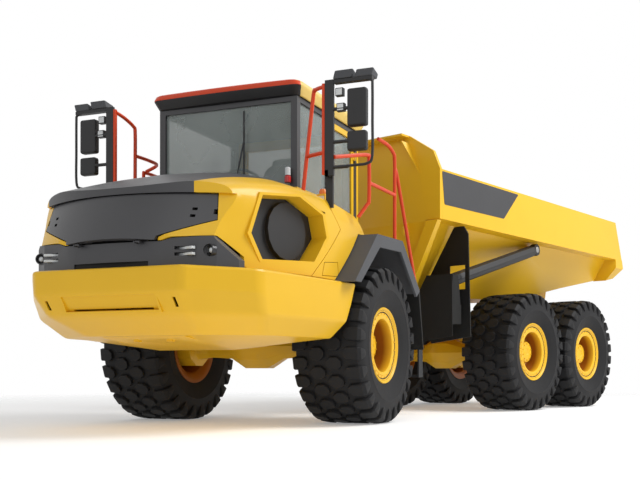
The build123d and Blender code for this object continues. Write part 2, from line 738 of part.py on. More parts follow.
def make_mirrors(side):
    """One mirror set: the upright plate, arms, two mirrors, two work lamps and the tube guard."""
    x0, x1 = mirror_x - 30, mirror_x
    plate = block(x0, x1, side * 1208, side * 1300, 2380, 3290)
    # columns: inner y, outer y, bottom z, top z, depth behind the plate
    box_rows = [(1435, 1630, 2830, 3190, 70), (1435, 1630, 2600, 2790, 70),
                (1290, 1480, 3290, 3370, 150), (1510, 1690, 3285, 3360, 150), (1300, 1690, 3250, 3290, 60)]
    boxes = [block(mirror_x - depth, mirror_x, side * y0, side * y1, z0, z1)
             for y0, y1, z0, z1, depth in box_rows]
    arms = [block(x0, x1, side * 1290, side * 1440, z, z + 35) for z in (2690, 3000, 2450)]
    guard = rail([(mirror_x - 15, side * 1440, 2467), (mirror_x - 15, side * 1640, 2467),
                  (mirror_x - 15, side * 1690, 2540), (mirror_x - 15, side * 1690, 3180),
                  (mirror_x - 15, side * 1650, 3260)], 19)
    foot = block(mirror_x - 95, mirror_x - 68, side * 1190, side * 1240, 2095, 2440)
    bridge = block(mirror_x - 95, mirror_x, side * 1208, side * 1240, 2385, 2440)
    return fused([plate] + boxes + arms + [guard, foot, bridge])


def make_handrails():
    """The orange rails: a bar from each mirror plate to the cowl, and the walkway's rails."""
    radius = rail_tube / 2
    rails = []
    for side in (1, -1):
        bar = rail([(830, side * 925, 2240), (830, side * 1045, 3235), (mirror_x - 15, side * 1190, 3235)], radius)
        middle = rail([(830, side * 965, 2610), (mirror_x - 15, side * 1190, 2610)], radius)
        post = block(mirror_x - 30, mirror_x, side * 1180, side * 1208, 2400, 3260)
        rails.append(fused([bar, middle, post]))
    front_post = rail([(430, 1340, 2070), (345, 1420, 2240), (345, 1420, 2700), (800, 1330, 2590),
                       (mirror_x - 15, 1300, 2560)], radius)
    rear_post = rail([(-250, 1470, 1930), (-250, 1470, 2860), (-310, 1470, 2860), (-925, 1470, 1490)], radius)
    brace = rail([(345, 1420, 2420), (-250, 1470, 2400)], radius)
    rails.append(fused([front_post, rear_post, brace]))
    rails.append(rail([(150, -1400, 1925), (150, -1400, 2780), (-600, -1400, 2780), (-600, -1400, 1790)], radius))
    return rails


def make_exhaust():
    """The exhaust stack behind the cab on the right."""
    stack = rod((-1010, -560, 1690), (-1010, -560, 2850), 75)
    elbow = block(-1050, -760 - pin_clearance, -600, -520, 1690, 1745)
    return fused([stack, elbow])


def make_marker_lamp():
    """The amber marker lamp on its box at the front left corner of the walkway."""
    return block(580, 740, 1010, 1120, 2160, 2320)


# Hitch
tow_bore_radius = 21
eye_bore_radius = 25


def make_hitch():
    """The hitch: a boss on the pin, a neck to the roll bearing and two arms for the cylinders."""
    boss = rod((hitch_x, 0, 855), (hitch_x, 0, 1185), 118)
    neck = block(hitch_x - 320, hitch_x - 60, -110, 110, 880, 1120)
    flange = rod((hitch_x - 350, 0, roll_axis_z), (hitch_x - 310, 0, roll_axis_z), 185)
    tube = rod((hitch_x - 680, 0, roll_axis_z), (hitch_x - 340, 0, roll_axis_z), 115)
    arms = []
    for side in (1, -1):
        for z0, z1 in ((1040, 1070), (930, 960)):
            arms.append(plan_cut([(hitch_x - 175, side * 90), (hitch_x - 40, side * 90),
                                  (hitch_x - 60, side * 345), (hitch_x - 140, side * 345)], z0, z1))
    body = fused([boss, neck, flange, tube] + arms)
    return body - true_bore((hitch_x, 0, 700), (hitch_x, 0, 1300), hitch_pin_radius + pin_clearance)


# Rear frame and bogie
pad_x = (-3150, -2850)
bogie_x = (bogie_front_x + bogie_rear_x) / 2
beam_in, beam_out = 520, 640


def bed_bottom_z(x):
    """The height of the bed's underside at a place along it."""
    for (x0, z0), (x1, z1) in zip(bed_keel, bed_keel[1:]):
        if x1 <= x <= x0:
            return z0 + (z1 - z0) * (x - x0) / (x1 - x0)


splash_x = -2600

# columns: x, z of the bed's underside from its front corner to the tail
bed_keel = [(-2270, 1500), (-4900, 1580), (-6150, 1850), (-7348, 2077)]


def make_rear_frame():
    """Two deep rails from the roll bearing to the bed's hinge, with the hoist's cross beam."""
    outline = [(-1800, 840), (-1800, 1160), (-2280, rear_rail_top), (-6280, rear_rail_top), (-6400, 1330),
               (-6400, 1180), (-5600, 1120), (-4300, 1120), (-3500, 1040), (-2300, 840)]
    rails = both_sides(side_cut(outline, rear_rail_in, rear_rail_out))
    housing = rod((-1890, 0, roll_axis_z), (hitch_x - 356, 0, roll_axis_z), 185)
    plates = [block(-1890, -1800, -rear_rail_out, rear_rail_out, 840, 1160),
              block(-2520, -2280, -1345, 1345, 1120, 1360)]
    # columns: rear x, front x, bottom z, top z of the ties between the rails
    ties = [block(x0, x1, -260, 260, z0, z1) for x0, x1, z0, z1 in
            ((-5080, -4940, 1130, 1330), (-6400, -6330, 1190, 1320), (-3560, -3440, 1100, 1300))]
    pads = []
    for side in (1, -1):
        pads.append(side_cut([(pad_x[0], rear_rail_top - 5), (pad_x[1], rear_rail_top - 5),
                              (pad_x[1], bed_bottom_z(pad_x[1]) - pin_clearance),
                              (pad_x[0], bed_bottom_z(pad_x[0]) - pin_clearance)],
                             *sorted((side * rear_rail_in, side * rear_rail_out))))
    trunnion = rod((bogie_x, -650, 1175), (bogie_x, 650, 1175), 55)
    bed_pin = rod((bed_pivot_x, -rear_rail_out - 95, bed_pivot_z), (bed_pivot_x, rear_rail_out + 95, bed_pivot_z),
                  bed_pin_radius)
    brackets = []
    for side in (1, -1):
        for y0 in (1127, 1323):
            brackets.append(side_cut([(-2510, 1350), (-2290, 1350), (-2340, 1720), (-2460, 1720)],
                                     *sorted((side * y0, side * (y0 + 20)))))
        brackets.append(rod((hoist_base_x, side * 1130, hoist_base_z), (hoist_base_x, side * 1340, hoist_base_z),
                            hoist_pin_radius))
        brackets.append(block(splash_x + pin_clearance, -2510, side * 860, side * 1040, 1160, 1320))
    tow_bar = block(-6470, -6400, -rear_rail_out, rear_rail_out, 1190, 1330)
    tow_plate = block(-6530, -6460, -60, 60, 1240, 1275)
    tow_plate = tow_plate - true_bore((-6500, 0, 1150), (-6500, 0, 1350), tow_bore_radius)
    lamp_bar = block(-6450, -6390, -720, 720, 1145, 1195)
    frame = fused(rails + [housing] + plates + ties + pads + [trunnion, bed_pin] + brackets + [tow_bar, lamp_bar])
    frame = frame + tow_plate
    return frame - rod_room((hitch_x - 700, 0, roll_axis_z), (hitch_x - 340, 0, roll_axis_z), 115)


def make_bogie_beams():
    """The walking beams: each rocks on the frame's trunnion and carries both axles on pads."""
    beams = []
    ends = (bogie_front_x, bogie_rear_x)
    outline = [(ends[0] + 130, 945), (ends[0] + 130, 1050), (bogie_x + 260, 1245), (bogie_x - 260, 1245),
               (ends[1] - 130, 1050), (ends[1] - 130, 945), (bogie_x - 300, 1060), (bogie_x + 300, 1060)]
    for side in (1, -1):
        y0, y1 = sorted((side * beam_in, side * beam_out))
        beam = side_cut(outline, y0, y1)
        pads = [block(x - 90, x + 90, y0, y1, tyre_radius + 119, 960) for x in ends]
        hole = rod_room((bogie_x, y0 - 20, 1175), (bogie_x, y1 + 20, 1175), 55)
        beams.append(fused([beam] + pads) - hole)
    return beams


def make_splash_plates():
    """The black plates across the rear unit, notched where the hoist cylinders pass."""
    outline = [(1186, 2345), (1331, 2344), (1394, 2244), (1429, 967), (843, 892), (700, 1086), (748, 1640)]
    plates = []
    for side in (1, -1):
        points = [(side * y, z) for y, z in outline]
        plate = front_cut(points, splash_x - 20, splash_x)
        notch = block(-2700, -2500, side * 1120, side * 1350, 1560, 1860)
        plates.append(plate - notch)
    return plates


def make_tail_lamps():
    """The tail lamps on their bar."""
    return [block(-6490, -6450, side * 560, side * 700, 1105, 1225) for side in (1, -1)]


# Bed
# columns: y, z of the bed's outer and inner half sections
bed_outer = [(bed_half_width, bed_top), (bed_half_width, band_bottom), (1150, band_bottom), (700, 1600),
             (640, 1480)]
bed_inner = [(bed_inside_half_width, bed_top + 50), (bed_inside_half_width, 2480), (1113, 2385),
             (664, 1620), (604, 1500)]
bed_front_line = [(bed_front_x, bed_top), (bed_front_x, 2350), (-2270, 1500)]
bed_tail_line = [(-7348, 2077), (-7439, 2246), (-7136, bed_top)]
front_wall = 50


def make_bed():
    """The bed: floor, two sides with boxed upper bands, and the front wall with its guard."""
    half_span = 1500
    outline = bed_front_line + bed_keel[1:] + bed_tail_line[1:]
    tub = side_cut(outline, -half_span, half_span)
    tub = tub & front_cut(mirrored([(0, bed_top + 5)] + bed_outer + [(0, 1480)]), -7500, -2000)
    floor_top = [(x, z + floor_wall) for x, z in bed_keel]
    inside = [(bed_front_x - front_wall, bed_top + 100), (bed_front_x - front_wall, 2360),
              (-2310 + 5, 1501 + floor_wall)] + floor_top[1:-1] + [(-7600, 2077 + floor_wall + 48), (-7600, bed_top + 100)]
    hollow = side_cut(inside, -half_span, half_span)
    hollow = hollow & front_cut(mirrored([(0, bed_top + 60)] + bed_inner + [(0, 1500)]), -7700, -2000)
    shell = tub - hollow
    below = [(-2000, 1300)] + [(-2000, 1501 + floor_wall), (-2305, 1501 + floor_wall)] + floor_top[1:-1]
    below = below + [(-7600, 2077 + floor_wall + 48), (-7600, 1300)]
    floor_zone = side_cut(below, -half_span, half_span)
    lower_zone = front_cut(mirrored([(0, 2300)] + [(1113, 2385), (664, 1620), (604, 1400), (0, 1400)]), -7700, -2000)
    floor = shell & floor_zone & lower_zone
    rest = shell - (floor_zone & lower_zone)
    wall_line = [(bed_front_x - front_wall, 3100), (bed_front_x - front_wall, 2360), (-2305, 1561),
                 (-2320, 1400), (-1900, 1400), (-1900, 3100)]
    wall_zone = side_cut(wall_line, -half_span, half_span)
    wall = rest & wall_zone
    sides = rest - wall_zone
    return floor, sides, wall


def make_guard():
    """The spill guard over the front wall, with its forward flange and stiffening ribs."""
    guard_top = bed_top + guard_height
    outline = mirrored([(0, guard_top), (890, guard_top), (1250, guard_top - guard_height / 2), (bed_half_width, bed_top),
                        (bed_half_width, bed_top - 40), (0, bed_top - 40)])
    plate = front_cut(outline, bed_front_x - front_wall, bed_front_x)
    flange = block(bed_front_x, bed_front_x + 150, -890, 890, guard_top - 25, guard_top)
    ribs = []
    for side in (1, -1):
        rib = side_cut([(0, 0), (0, guard_height), (140, guard_height)], -8, 8)
        ribs.append(Pos(bed_front_x - 3, side * 1060, 2915) * (Rot(side * 24, 0, 0) * rib))
        beam = [(bed_half_width, 2360), (1180, 2360), (640, 1510), (780, 1500)]
        frame = side_cut([(bed_front_x - 40, 2350), (bed_front_x + 40, 2350), (-2190, 1500), (-2300, 1500)],
                         *sorted((side * 600, side * 1400)))
        ribs.append(frame & front_cut([(side * y, z) for y, z in beam], -2400, -1900))
        eye = side_cut([(-2100, 2200), (-2100, 2370), (-2055, 2370), (-1955, 2290), (-1950, 2235), (-1985, 2200)],
                       *sorted((side * 855, side * 880)))
        ribs.append(eye - true_bore((-1995, side * 800, 2252), (-1995, side * 950, 2252), eye_bore_radius))
    return plate, flange, ribs


def make_bed_fittings():
    """The hinge lugs under the floor and the pads beside the hoist rods' eyes."""
    lugs = []
    for side in (1, -1):
        outline = [(-5900, bed_bottom_z(-5900) + 5), (-6420, bed_bottom_z(-6420) + 5), (-6230, 1220),
                   (-6150, 1185), (-6070, 1220)]
        lug = side_cut(outline, *sorted((side * (rear_rail_out + 12), side * (rear_rail_out + 72))))
        bore = rod_room((bed_pivot_x, side * 380, bed_pivot_z), (bed_pivot_x, side * 520, bed_pivot_z),
                        bed_pin_radius)
        lugs.append(lug - bore)
    return lugs


def eye_pads():
    """Bosses on the bed's sides that stop just short of the hoist eyes."""
    return [rod((hoist_eye_x, side * 1050, hoist_eye_z),
                (hoist_eye_x, side * (hoist_y - hoist_eye_width / 2 - 5), hoist_eye_z), 62)
            for side in (1, -1)]


def tail_ribs():
    """The box ribs under the bands at the tail."""
    ribs = []
    for side in (1, -1):
        outline = [(bed_half_width, band_bottom + 5), (bed_half_width, 2230), (1150, 2010), (935, 2010),
                   (1140, band_bottom + 5)]
        rib = front_cut([(side * y, z) for y, z in outline], -7500, -7150)
        ribs.append(rib & side_cut([(-7150, 2030), (-7348, 2077), (-7439, 2246), (-7380, 2420), (-7150, 2420)],
                                   -1500, 1500))
    return ribs


# Cylinders
def cylinder_pair(base, eye, radii, barrel_length, shortest, eye_width, pin_axis):
    """A hydraulic cylinder between two pins: its barrel on the base pin and its rod up to the eye."""
    barrel_radius, rod_radius, eye_radius, pin_radius = radii
    base, eye, pin_axis = Vector(*base), Vector(*eye), Vector(*pin_axis)
    along = (eye - base).normalized()
    across = pin_axis * (eye_width / 2)
    knuckle = pin_axis * (barrel_radius - 2)
    mouth = base + along * barrel_length
    end_wall = pin_radius + cylinder_end_wall
    barrel = rod(tuple(base + along * end_wall), tuple(mouth), barrel_radius)
    barrel = barrel + rod(tuple(base - knuckle), tuple(base + knuckle), eye_radius)
    barrel = barrel - rod_room(tuple(base - knuckle * 2), tuple(base + knuckle * 2), pin_radius)
    barrel = barrel - rod_room(tuple(base + along * (end_wall + 20)), tuple(mouth + along * 50), rod_radius)
    inner_end = eye - along * (shortest - end_wall - 25)
    piston = rod(tuple(inner_end), tuple(eye), rod_radius)
    return barrel, piston + rod(tuple(eye - across), tuple(eye + across), eye_radius)


cylinder_end_wall = 5


def hoist_cylinder(side):
    """The hoist cylinder on one side of the bed, from its bracket up to the bed's side."""
    base = (hoist_base_x, side * hoist_y, hoist_base_z)
    eye = (hoist_eye_x, side * hoist_y, hoist_eye_z)
    closed = hypot(hoist_eye_x - hoist_base_x, hoist_eye_z - hoist_base_z)
    radii = (hoist_barrel_radius, hoist_rod_radius, hoist_eye_radius, hoist_pin_radius)
    return cylinder_pair(base, eye, radii, closed - hoist_eye_radius - 15, closed, hoist_eye_width, (0, 1, 0))


def steer_eye(side, turn):
    """The steering rod's eye on one side, in plan, with the rear unit turned by so many degrees."""
    dx, dy = -steer_eye_back, side * steer_eye_y
    angle = radians(turn)
    return hitch_x + dx * cos(angle) - dy * sin(angle), dx * sin(angle) + dy * cos(angle)


def steer_length(side, turn):
    """The steering cylinder's length from pin to pin at that turn."""
    x, y = steer_eye(side, turn)
    return hypot(x - steer_base_x, y - side * steer_base_y)


steer_lock = 45


def steering_cylinder(side):
    """The steering cylinder on one side, drawn at the articulation shown."""
    x, y = steer_eye(side, articulation)
    shortest = min(steer_length(side, steer_lock), steer_length(side, -steer_lock))
    radii = (steer_barrel_radius, steer_rod_radius, steer_eye_radius, steer_pin_radius)
    return cylinder_pair((steer_base_x, side * steer_base_y, roll_axis_z), (x, y, roll_axis_z), radii, 590,
                         shortest, 70, (0, 0, 1))


# Assembly
rear_place = Pos(hitch_x, 0, 0) * Rot(0, 0, articulation) * Pos(-hitch_x, 0, 0)
nodes = {}


def as_compound(shapes):
    """One shape from a piece or a list of pieces."""
    if isinstance(shapes, (list, tuple)):
        shapes = [solid for shape in shapes for solid in shape.solids()]
        return Compound(shapes) if len(shapes) > 1 else shapes[0]
    return shapes


def trimmed(shape, neighbours):
    """A piece cut back to the skins it stands on, keeping its largest solid."""
    for neighbour in neighbours:
        shape = shape - neighbour
    return max(shape.solids(), key=lambda solid: solid.volume)


def add_front(name, shapes):
    """Keep a piece of the front unit."""
    nodes[name] = as_compound(shapes)


def add_rear(name, shapes):
    """Keep a piece of the rear unit, swung about the hitch pin."""
    nodes[name] = rear_place * as_compound(shapes)


crown, hood_sides, cowl_crown, cowl_sides, screens = make_hood_and_cowl()
add_front("front_frame", make_front_frame())
add_front("front_axle", make_front_axle())
add_front("bumper", make_bumper())
add_front("belly_plate", make_belly())
add_front("lamp_band", make_lamp_band())
add_front("front_lamps", make_head_lamps() + [trimmed(make_marker_lamp(), [cowl_sides])])
add_front("cooling_pack", make_cooling_pack())
add_front("engine", make_engine())
add_front("cowl_top", cowl_crown)
add_front("cowl_sides", cowl_sides)
add_front("hood_top", crown)
add_front("hood_sides", hood_sides)
add_front("fan_screens", screens)
add_front("grille", make_grille())
add_front("fenders", make_fenders())
add_front("wheel_flaps", make_wheel_flaps())
add_front("boarding_steps", trimmed(make_steps(), [nodes["fenders"], nodes["wheel_flaps"]]))
mirror_sets = [trimmed(make_mirrors(side), [cowl_sides]) for side in (1, -1)]
add_front("mirrors_left", mirror_sets[0])
add_front("mirrors_right", mirror_sets[1])
add_front("handrails", [trimmed(bar, [cowl_sides, nodes["fenders"]] + mirror_sets) for bar in make_handrails()])
add_front("exhaust", make_exhaust())
add_front("cab_floor", make_cab_floor())
add_front("cab_frame", make_cab_frame())
add_front("cab_rear_wall", make_cab_rear())
add_front("cab_roof", make_cab_roof())
add_front("cab_glass", make_cab_glass())
add_front("driver_seat", make_seat())
add_front("dashboard", make_console())
add_front("cab_door", make_door())
add_front("door_glass", make_door_glass())
for name, side in (("left", 1), ("right", -1)):
    barrel, piston = steering_cylinder(side)
    add_front(f"steering_barrel_{name}", barrel)
    add_front(f"steering_rod_{name}", piston)
    add_front(f"tyre_front_{name}", wheel_at(tyre_shape, 0, side))
    add_front(f"rim_front_{name}", wheel_at(front_rim_shape, 0, side))

add_rear("hitch", make_hitch())
add_rear("rear_frame", make_rear_frame())
add_rear("bogie_beams", make_bogie_beams())
add_rear("bogie_axles", [axle_at(bogie_front_x, 235), axle_at(bogie_rear_x, 235)])
add_rear("splash_plates", make_splash_plates())
add_rear("tail_lamps", make_tail_lamps())
bed_floor, bed_sides, bed_front = make_bed()
guard_plate, guard_flange, guard_ribs = make_guard()
add_rear("bed_floor", fused([bed_floor] + make_bed_fittings()))
sides_full = bed_sides
for extra in eye_pads() + tail_ribs():
    sides_full = sides_full + extra
for name, sign in (("left", 1), ("right", -1)):
    half_space = block(-8000, -1500, 0, sign * 2000, 1000, 4000)
    add_rear(f"bed_side_{name}", sides_full & half_space)
add_rear("bed_front_wall", fused([bed_front, guard_plate, guard_flange] + guard_ribs))
for name, side in (("left", 1), ("right", -1)):
    barrel, piston = hoist_cylinder(side)
    add_rear(f"hoist_barrel_{name}", barrel)
    add_rear(f"hoist_rod_{name}", piston)
    for row, x in (("middle", bogie_front_x), ("rear", bogie_rear_x)):
        add_rear(f"tyre_{row}_{name}", wheel_at(tyre_shape, x, side))
        add_rear(f"rim_{row}_{name}", wheel_at(rear_rim_shape, x, side))

boxes = [node.bounding_box() for node in nodes.values()]
middle_x = (min(box.min.X for box in boxes) + max(box.max.X for box in boxes)) / 2
middle_y = (min(box.min.Y for box in boxes) + max(box.max.Y for box in boxes)) / 2
ground_z = min(box.min.Z for box in boxes)
to_centre = Pos(-middle_x, -middle_y, -ground_z)
pieces = {name: to_centre * node for name, node in nodes.items()}
for name, piece in pieces.items():
    export_step(piece, f"parts/{name}.step")
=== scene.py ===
import json
import math
import bmesh
import bpy
import numpy as np
from mathutils import Matrix, Vector


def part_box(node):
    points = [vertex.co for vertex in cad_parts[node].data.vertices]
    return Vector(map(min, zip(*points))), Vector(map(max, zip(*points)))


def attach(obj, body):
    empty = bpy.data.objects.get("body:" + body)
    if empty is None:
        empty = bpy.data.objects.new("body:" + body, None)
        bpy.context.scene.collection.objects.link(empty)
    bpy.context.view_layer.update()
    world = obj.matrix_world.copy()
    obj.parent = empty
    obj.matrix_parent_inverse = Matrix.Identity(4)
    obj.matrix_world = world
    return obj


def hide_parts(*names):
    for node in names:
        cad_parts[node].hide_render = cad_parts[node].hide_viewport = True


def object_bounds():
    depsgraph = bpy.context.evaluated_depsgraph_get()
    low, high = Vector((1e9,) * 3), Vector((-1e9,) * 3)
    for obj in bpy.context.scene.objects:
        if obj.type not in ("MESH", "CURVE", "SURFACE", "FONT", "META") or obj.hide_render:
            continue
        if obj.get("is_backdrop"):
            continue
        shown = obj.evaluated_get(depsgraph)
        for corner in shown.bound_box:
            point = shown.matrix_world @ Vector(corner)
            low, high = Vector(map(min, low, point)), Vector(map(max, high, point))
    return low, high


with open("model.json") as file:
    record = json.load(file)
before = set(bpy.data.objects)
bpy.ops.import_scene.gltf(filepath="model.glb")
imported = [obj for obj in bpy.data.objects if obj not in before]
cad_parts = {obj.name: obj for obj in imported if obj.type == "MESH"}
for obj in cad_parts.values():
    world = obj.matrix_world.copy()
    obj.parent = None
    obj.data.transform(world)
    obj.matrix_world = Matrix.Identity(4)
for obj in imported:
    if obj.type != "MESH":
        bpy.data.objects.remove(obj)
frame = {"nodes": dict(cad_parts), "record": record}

cad_low, cad_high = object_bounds()

# The truck's own places
# Everything on the front unit is measured from the ground under the front axle, X forward, Y to the
# driver's left. The rear unit is measured in the same way with the truck straight, then turned about
# the hitch pin by the angle at which the truck is parked.
front_left_low, front_left_high = np.array(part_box("tyre_front_left"))
half_track = 1.14
tyre_radius = 0.805
front_axle = (front_left_low + front_left_high) / 2 - (0, half_track, tyre_radius)
articulation = math.radians(-16.6)
hitch_x = -1.21
rear_turn = np.array(Matrix.Rotation(articulation, 3, "Z"))


def on_front(points):
    """Front-axle measures to the row frame: each point is shifted by the axle's place."""
    return np.asarray(points, float) + front_axle


def on_rear(points):
    """Straight-truck measures to the row frame: turned about the hitch pin, then shifted."""
    straight = np.asarray(points, float) - (hitch_x, 0, 0)
    return on_front(straight @ rear_turn.T + (hitch_x, 0, 0))


# The photograph's view
# A lens of about 52 mm held at knee height, off the front left corner; the shift frames the truck as
# the photograph does.
eye = on_front([8.804, 4.8541, 0.5426])
view_yaw = math.radians(200.937)
view_pitch = math.radians(0.303)
camera_data = bpy.data.cameras.new("photo_camera")
camera_data.sensor_width, camera_data.lens = 36, 51.55
camera_data.shift_x, camera_data.shift_y = -0.1055, 0.1971
camera_data.clip_start, camera_data.clip_end = 0.1, 300
camera = bpy.data.objects.new("photo_camera", camera_data)
bpy.context.collection.objects.link(camera)
camera.location = eye
looking = Vector((math.cos(view_pitch) * math.cos(view_yaw), math.cos(view_pitch) * math.sin(view_yaw),
                  math.sin(view_pitch)))
camera.rotation_euler = looking.to_track_quat("-Z", "Y").to_euler()
bpy.context.scene.camera = camera
bpy.context.scene.view_settings.view_transform = "Standard"


# Hood and cowl
# The hood is a moulded charcoal crown between two yellow side panels; behind the seam the fixed cowl
# carries the same shape back to the cab. All are sheets about 40 mm deep at their turned edges.
class Strand:
    """One value running through a material. Arithmetic on it adds Math nodes."""

    def __init__(self, tree, socket):
        self.tree = tree
        self.socket = socket

    def math(self, operation, other):
        node = self.tree.nodes.new("ShaderNodeMath")
        node.operation = operation
        self.tree.links.new(self.socket, node.inputs[0])
        if isinstance(other, Strand):
            self.tree.links.new(other.socket, node.inputs[1])
        else:
            node.inputs[1].default_value = other
        return Strand(self.tree, node.outputs[0])

    def __add__(self, other):
        return self.math("ADD", other)

    def __sub__(self, other):
        return self.math("SUBTRACT", other)

    def __mul__(self, other):
        return self.math("MULTIPLY", other)

    __radd__ = __add__
    __rmul__ = __mul__

    def step(self, start, end):
        """0 below start, 1 above end, smooth between."""
        node = self.tree.nodes.new("ShaderNodeMapRange")
        node.interpolation_type = "SMOOTHSTEP"
        self.tree.links.new(self.socket, node.inputs["Value"])
        node.inputs["From Min"].default_value = min(start, end)
        node.inputs["From Max"].default_value = max(start, end)
        node.inputs["To Min"].default_value = 0 if start < end else 1
        node.inputs["To Max"].default_value = 1 if start < end else 0
        return Strand(self.tree, node.outputs["Result"])


class Finish:
    """A material being mixed: make() adds any node, coat() sets the sockets of its shader."""

    def __init__(self, name, **plain):
        self.material = bpy.data.materials.new(name)
        self.material.use_nodes = True
        self.tree = self.material.node_tree
        self.shader = self.tree.nodes["Principled BSDF"]
        self.place = self.make("ShaderNodeTexCoord", "Object")
        self.coat(**plain)

    def make(self, kind, result=0, settings=(), **values):
        node = self.tree.nodes.new(kind)
        for key, value in dict(settings).items():
            setattr(node, key, value)
        self.join(node, values)
        return Strand(self.tree, node.outputs[result])

    def join(self, node, values):
        for key, value in values.items():
            socket = node.inputs[int(key[1:]) if key[1:].isdigit() else key.replace("_", " ")]
            if isinstance(value, Strand):
                self.tree.links.new(value.socket, socket)
            elif socket.type == "RGBA":
                socket.default_value = (*value[:3], 1)
            else:
                socket.default_value = value

    def coat(self, **values):
        self.join(self.shader, values)
        return self

    def noise(self, scale, detail=3, roughness=0.5):
        """A cloudy value about 0.5, scale blotches to the metre."""
        return self.make("ShaderNodeTexNoise", "Fac", Vector=self.place, Scale=scale, Detail=detail,
                         Roughness=roughness)

    def mix(self, share, first, second):
        """One colour going over into another as share goes from 0 to 1."""
        return self.make("ShaderNodeMix", 2, {"data_type": "RGBA"}, _0=share, _6=first, _7=second)

    def bump(self, height, depth, strength):
        """Fine relief: height from 0 to 1 stands depth metres proud."""
        return self.make("ShaderNodeBump", "Normal", Height=height, Distance=depth, Strength=strength)

    def height_above_ground(self):
        return self.make("ShaderNodeSeparateXYZ", 2, Vector=self.place)


def wet_paint(name, colour, shade, roughness=0.36, coat=0.12, dust=0.35, dusty=(0.42, 0.33, 0.20)):
    """Sprayed enamel on steel: faint cloudiness and orange peel, with road dust towards the ground."""
    finish = Finish(name, Coat_Weight=coat, Coat_Roughness=0.12, Specular_IOR_Level=0.3)
    cloud = finish.noise(1.7, detail=4)
    speck = finish.noise(38, detail=5, roughness=0.7)
    low = finish.height_above_ground().step(1.1, 0.2)
    dirt = low * dust * finish.noise(4.5, detail=6, roughness=0.68).step(0.45, 0.78)
    base = finish.mix(cloud.step(0.35, 0.7) * 0.4, colour, shade)
    base = finish.mix(dirt, base, dusty)
    peel = finish.noise(150, detail=2)
    return finish.coat(Base_Color=base, Roughness=roughness + 0.12 * (speck - 0.5) + 0.35 * dirt,
                       Normal=finish.bump(peel, 0.0006, 0.2)).material


def moulded(name, colour, shade, roughness, shine=0.4):
    """Moulded plastic: a fine leather grain that scatters light, greyed a little by dust."""
    finish = Finish(name, Specular_IOR_Level=shine)
    cloud = finish.noise(2.3, detail=4)
    grain = finish.noise(190, detail=3, roughness=0.65)
    low = finish.height_above_ground().step(1.2, 0.3)
    dirt = low * 0.3 * finish.noise(5, detail=6, roughness=0.7).step(0.45, 0.8)
    base = finish.mix(cloud.step(0.3, 0.7) * 0.6, colour, shade)
    base = finish.mix(dirt, base, (0.20, 0.18, 0.15))
    return finish.coat(Base_Color=base, Roughness=roughness + 0.16 * (cloud - 0.5),
                       Normal=finish.bump(grain, 0.0008, 0.3)).material


# Colours are written as the photograph shows them in plain light, in linear values.
yellow = wet_paint("yellow_enamel", (0.83, 0.49, 0.016), (0.78, 0.45, 0.013))
charcoal = moulded("charcoal_shell", (0.024, 0.024, 0.027), (0.034, 0.034, 0.038), 0.42, shine=0.6)


def seated(obj, body, material, stands_for=()):
    """Links a finished piece, gives it its finish and lets it ride on its body."""
    bpy.context.collection.objects.link(obj)
    obj.data.materials.clear()
    for one in material if isinstance(material, (list, tuple)) else [material]:
        obj.data.materials.append(one)
    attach(obj, body)
    if stands_for:
        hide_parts(*stands_for)
    return obj


def smoothed(mesh, crease):
    """Smooth shading but for edges that turn by more than crease degrees."""
    mesh.shade_smooth()
    mesh.set_sharp_from_angle(angle=math.radians(crease))


def rolled(obj, edge, crease, harden=True):
    """Sharp edges rounded over, edge metres wide."""
    bevel = obj.modifiers.new("rounded_edges", "BEVEL")
    bevel.width = edge
    bevel.segments = 2
    bevel.limit_method = "ANGLE"
    bevel.angle_limit = math.radians(crease)
    bevel.harden_normals = harden


def cut(base, tool, way="DIFFERENCE"):
    """base with tool taken away (DIFFERENCE), kept in common (INTERSECT) or added (UNION)."""
    for obj in (base, tool):
        bpy.context.collection.objects.link(obj)
    knife = base.modifiers.new("cut", "BOOLEAN")
    knife.object = tool
    knife.operation = way
    knife.solver = "MANIFOLD"
    bpy.context.view_layer.update()
    made = base.evaluated_get(bpy.context.evaluated_depsgraph_get())
    mesh = bpy.data.meshes.new_from_object(made)
    base.modifiers.remove(knife)
    for obj in (base, tool):
        bpy.context.collection.objects.unlink(obj)
    return bpy.data.objects.new(base.name, mesh)


def solid(points, rows, columns):
    """A closed body from rows of ring points: sides between rings and a flat face at both ends."""
    faces = grid_sides(rows, columns).tolist()
    faces.append(list(range(columns))[::-1])
    faces.append(list(range((rows - 1) * columns, rows * columns)))
    mesh = bpy.data.meshes.new("blank")
    mesh.from_pydata(np.asarray(points, float).reshape(-1, 3).tolist(), [], faces)
    work = bmesh.new()
    work.from_mesh(mesh)
    bmesh.ops.recalc_face_normals(work, faces=work.faces)
    work.to_mesh(mesh)
    work.free()
    return bpy.data.objects.new("blank", mesh)


def grid_sides(rows, columns, closed=False):
    """Quads between neighbouring rings, and from the last ring to the first where closed."""
    i, j = np.meshgrid(np.arange(rows if closed else rows - 1), np.arange(columns), indexing="ij")
    k, m = (i + 1) % rows, (j + 1) % columns
    return np.stack([i * columns + j, i * columns + m, k * columns + m, k * columns + j],
                    axis=-1).reshape(-1, 4)


def prism(outline, along, start, end):
    """A flat outline pushed along an axis between two places; along is x, y or z."""
    outline = np.asarray(outline, float)
    axis = "xyz".index(along)
    rings = [np.insert(outline, axis, place, axis=1) for place in sorted((start, end))]
    return solid(rings, 2, len(outline))


def slab(rear, ahead, low, high, half=1.5):
    """A box across the truck between two x and two z."""
    return prism([(rear, -half), (ahead, -half), (ahead, half), (rear, half)], "z", low, high)


def circle(radius, count=360):
    """count points round a circle."""
    turns = 2 * np.pi * np.arange(count) / count
    return radius * np.stack([np.cos(turns), np.sin(turns)], axis=1)


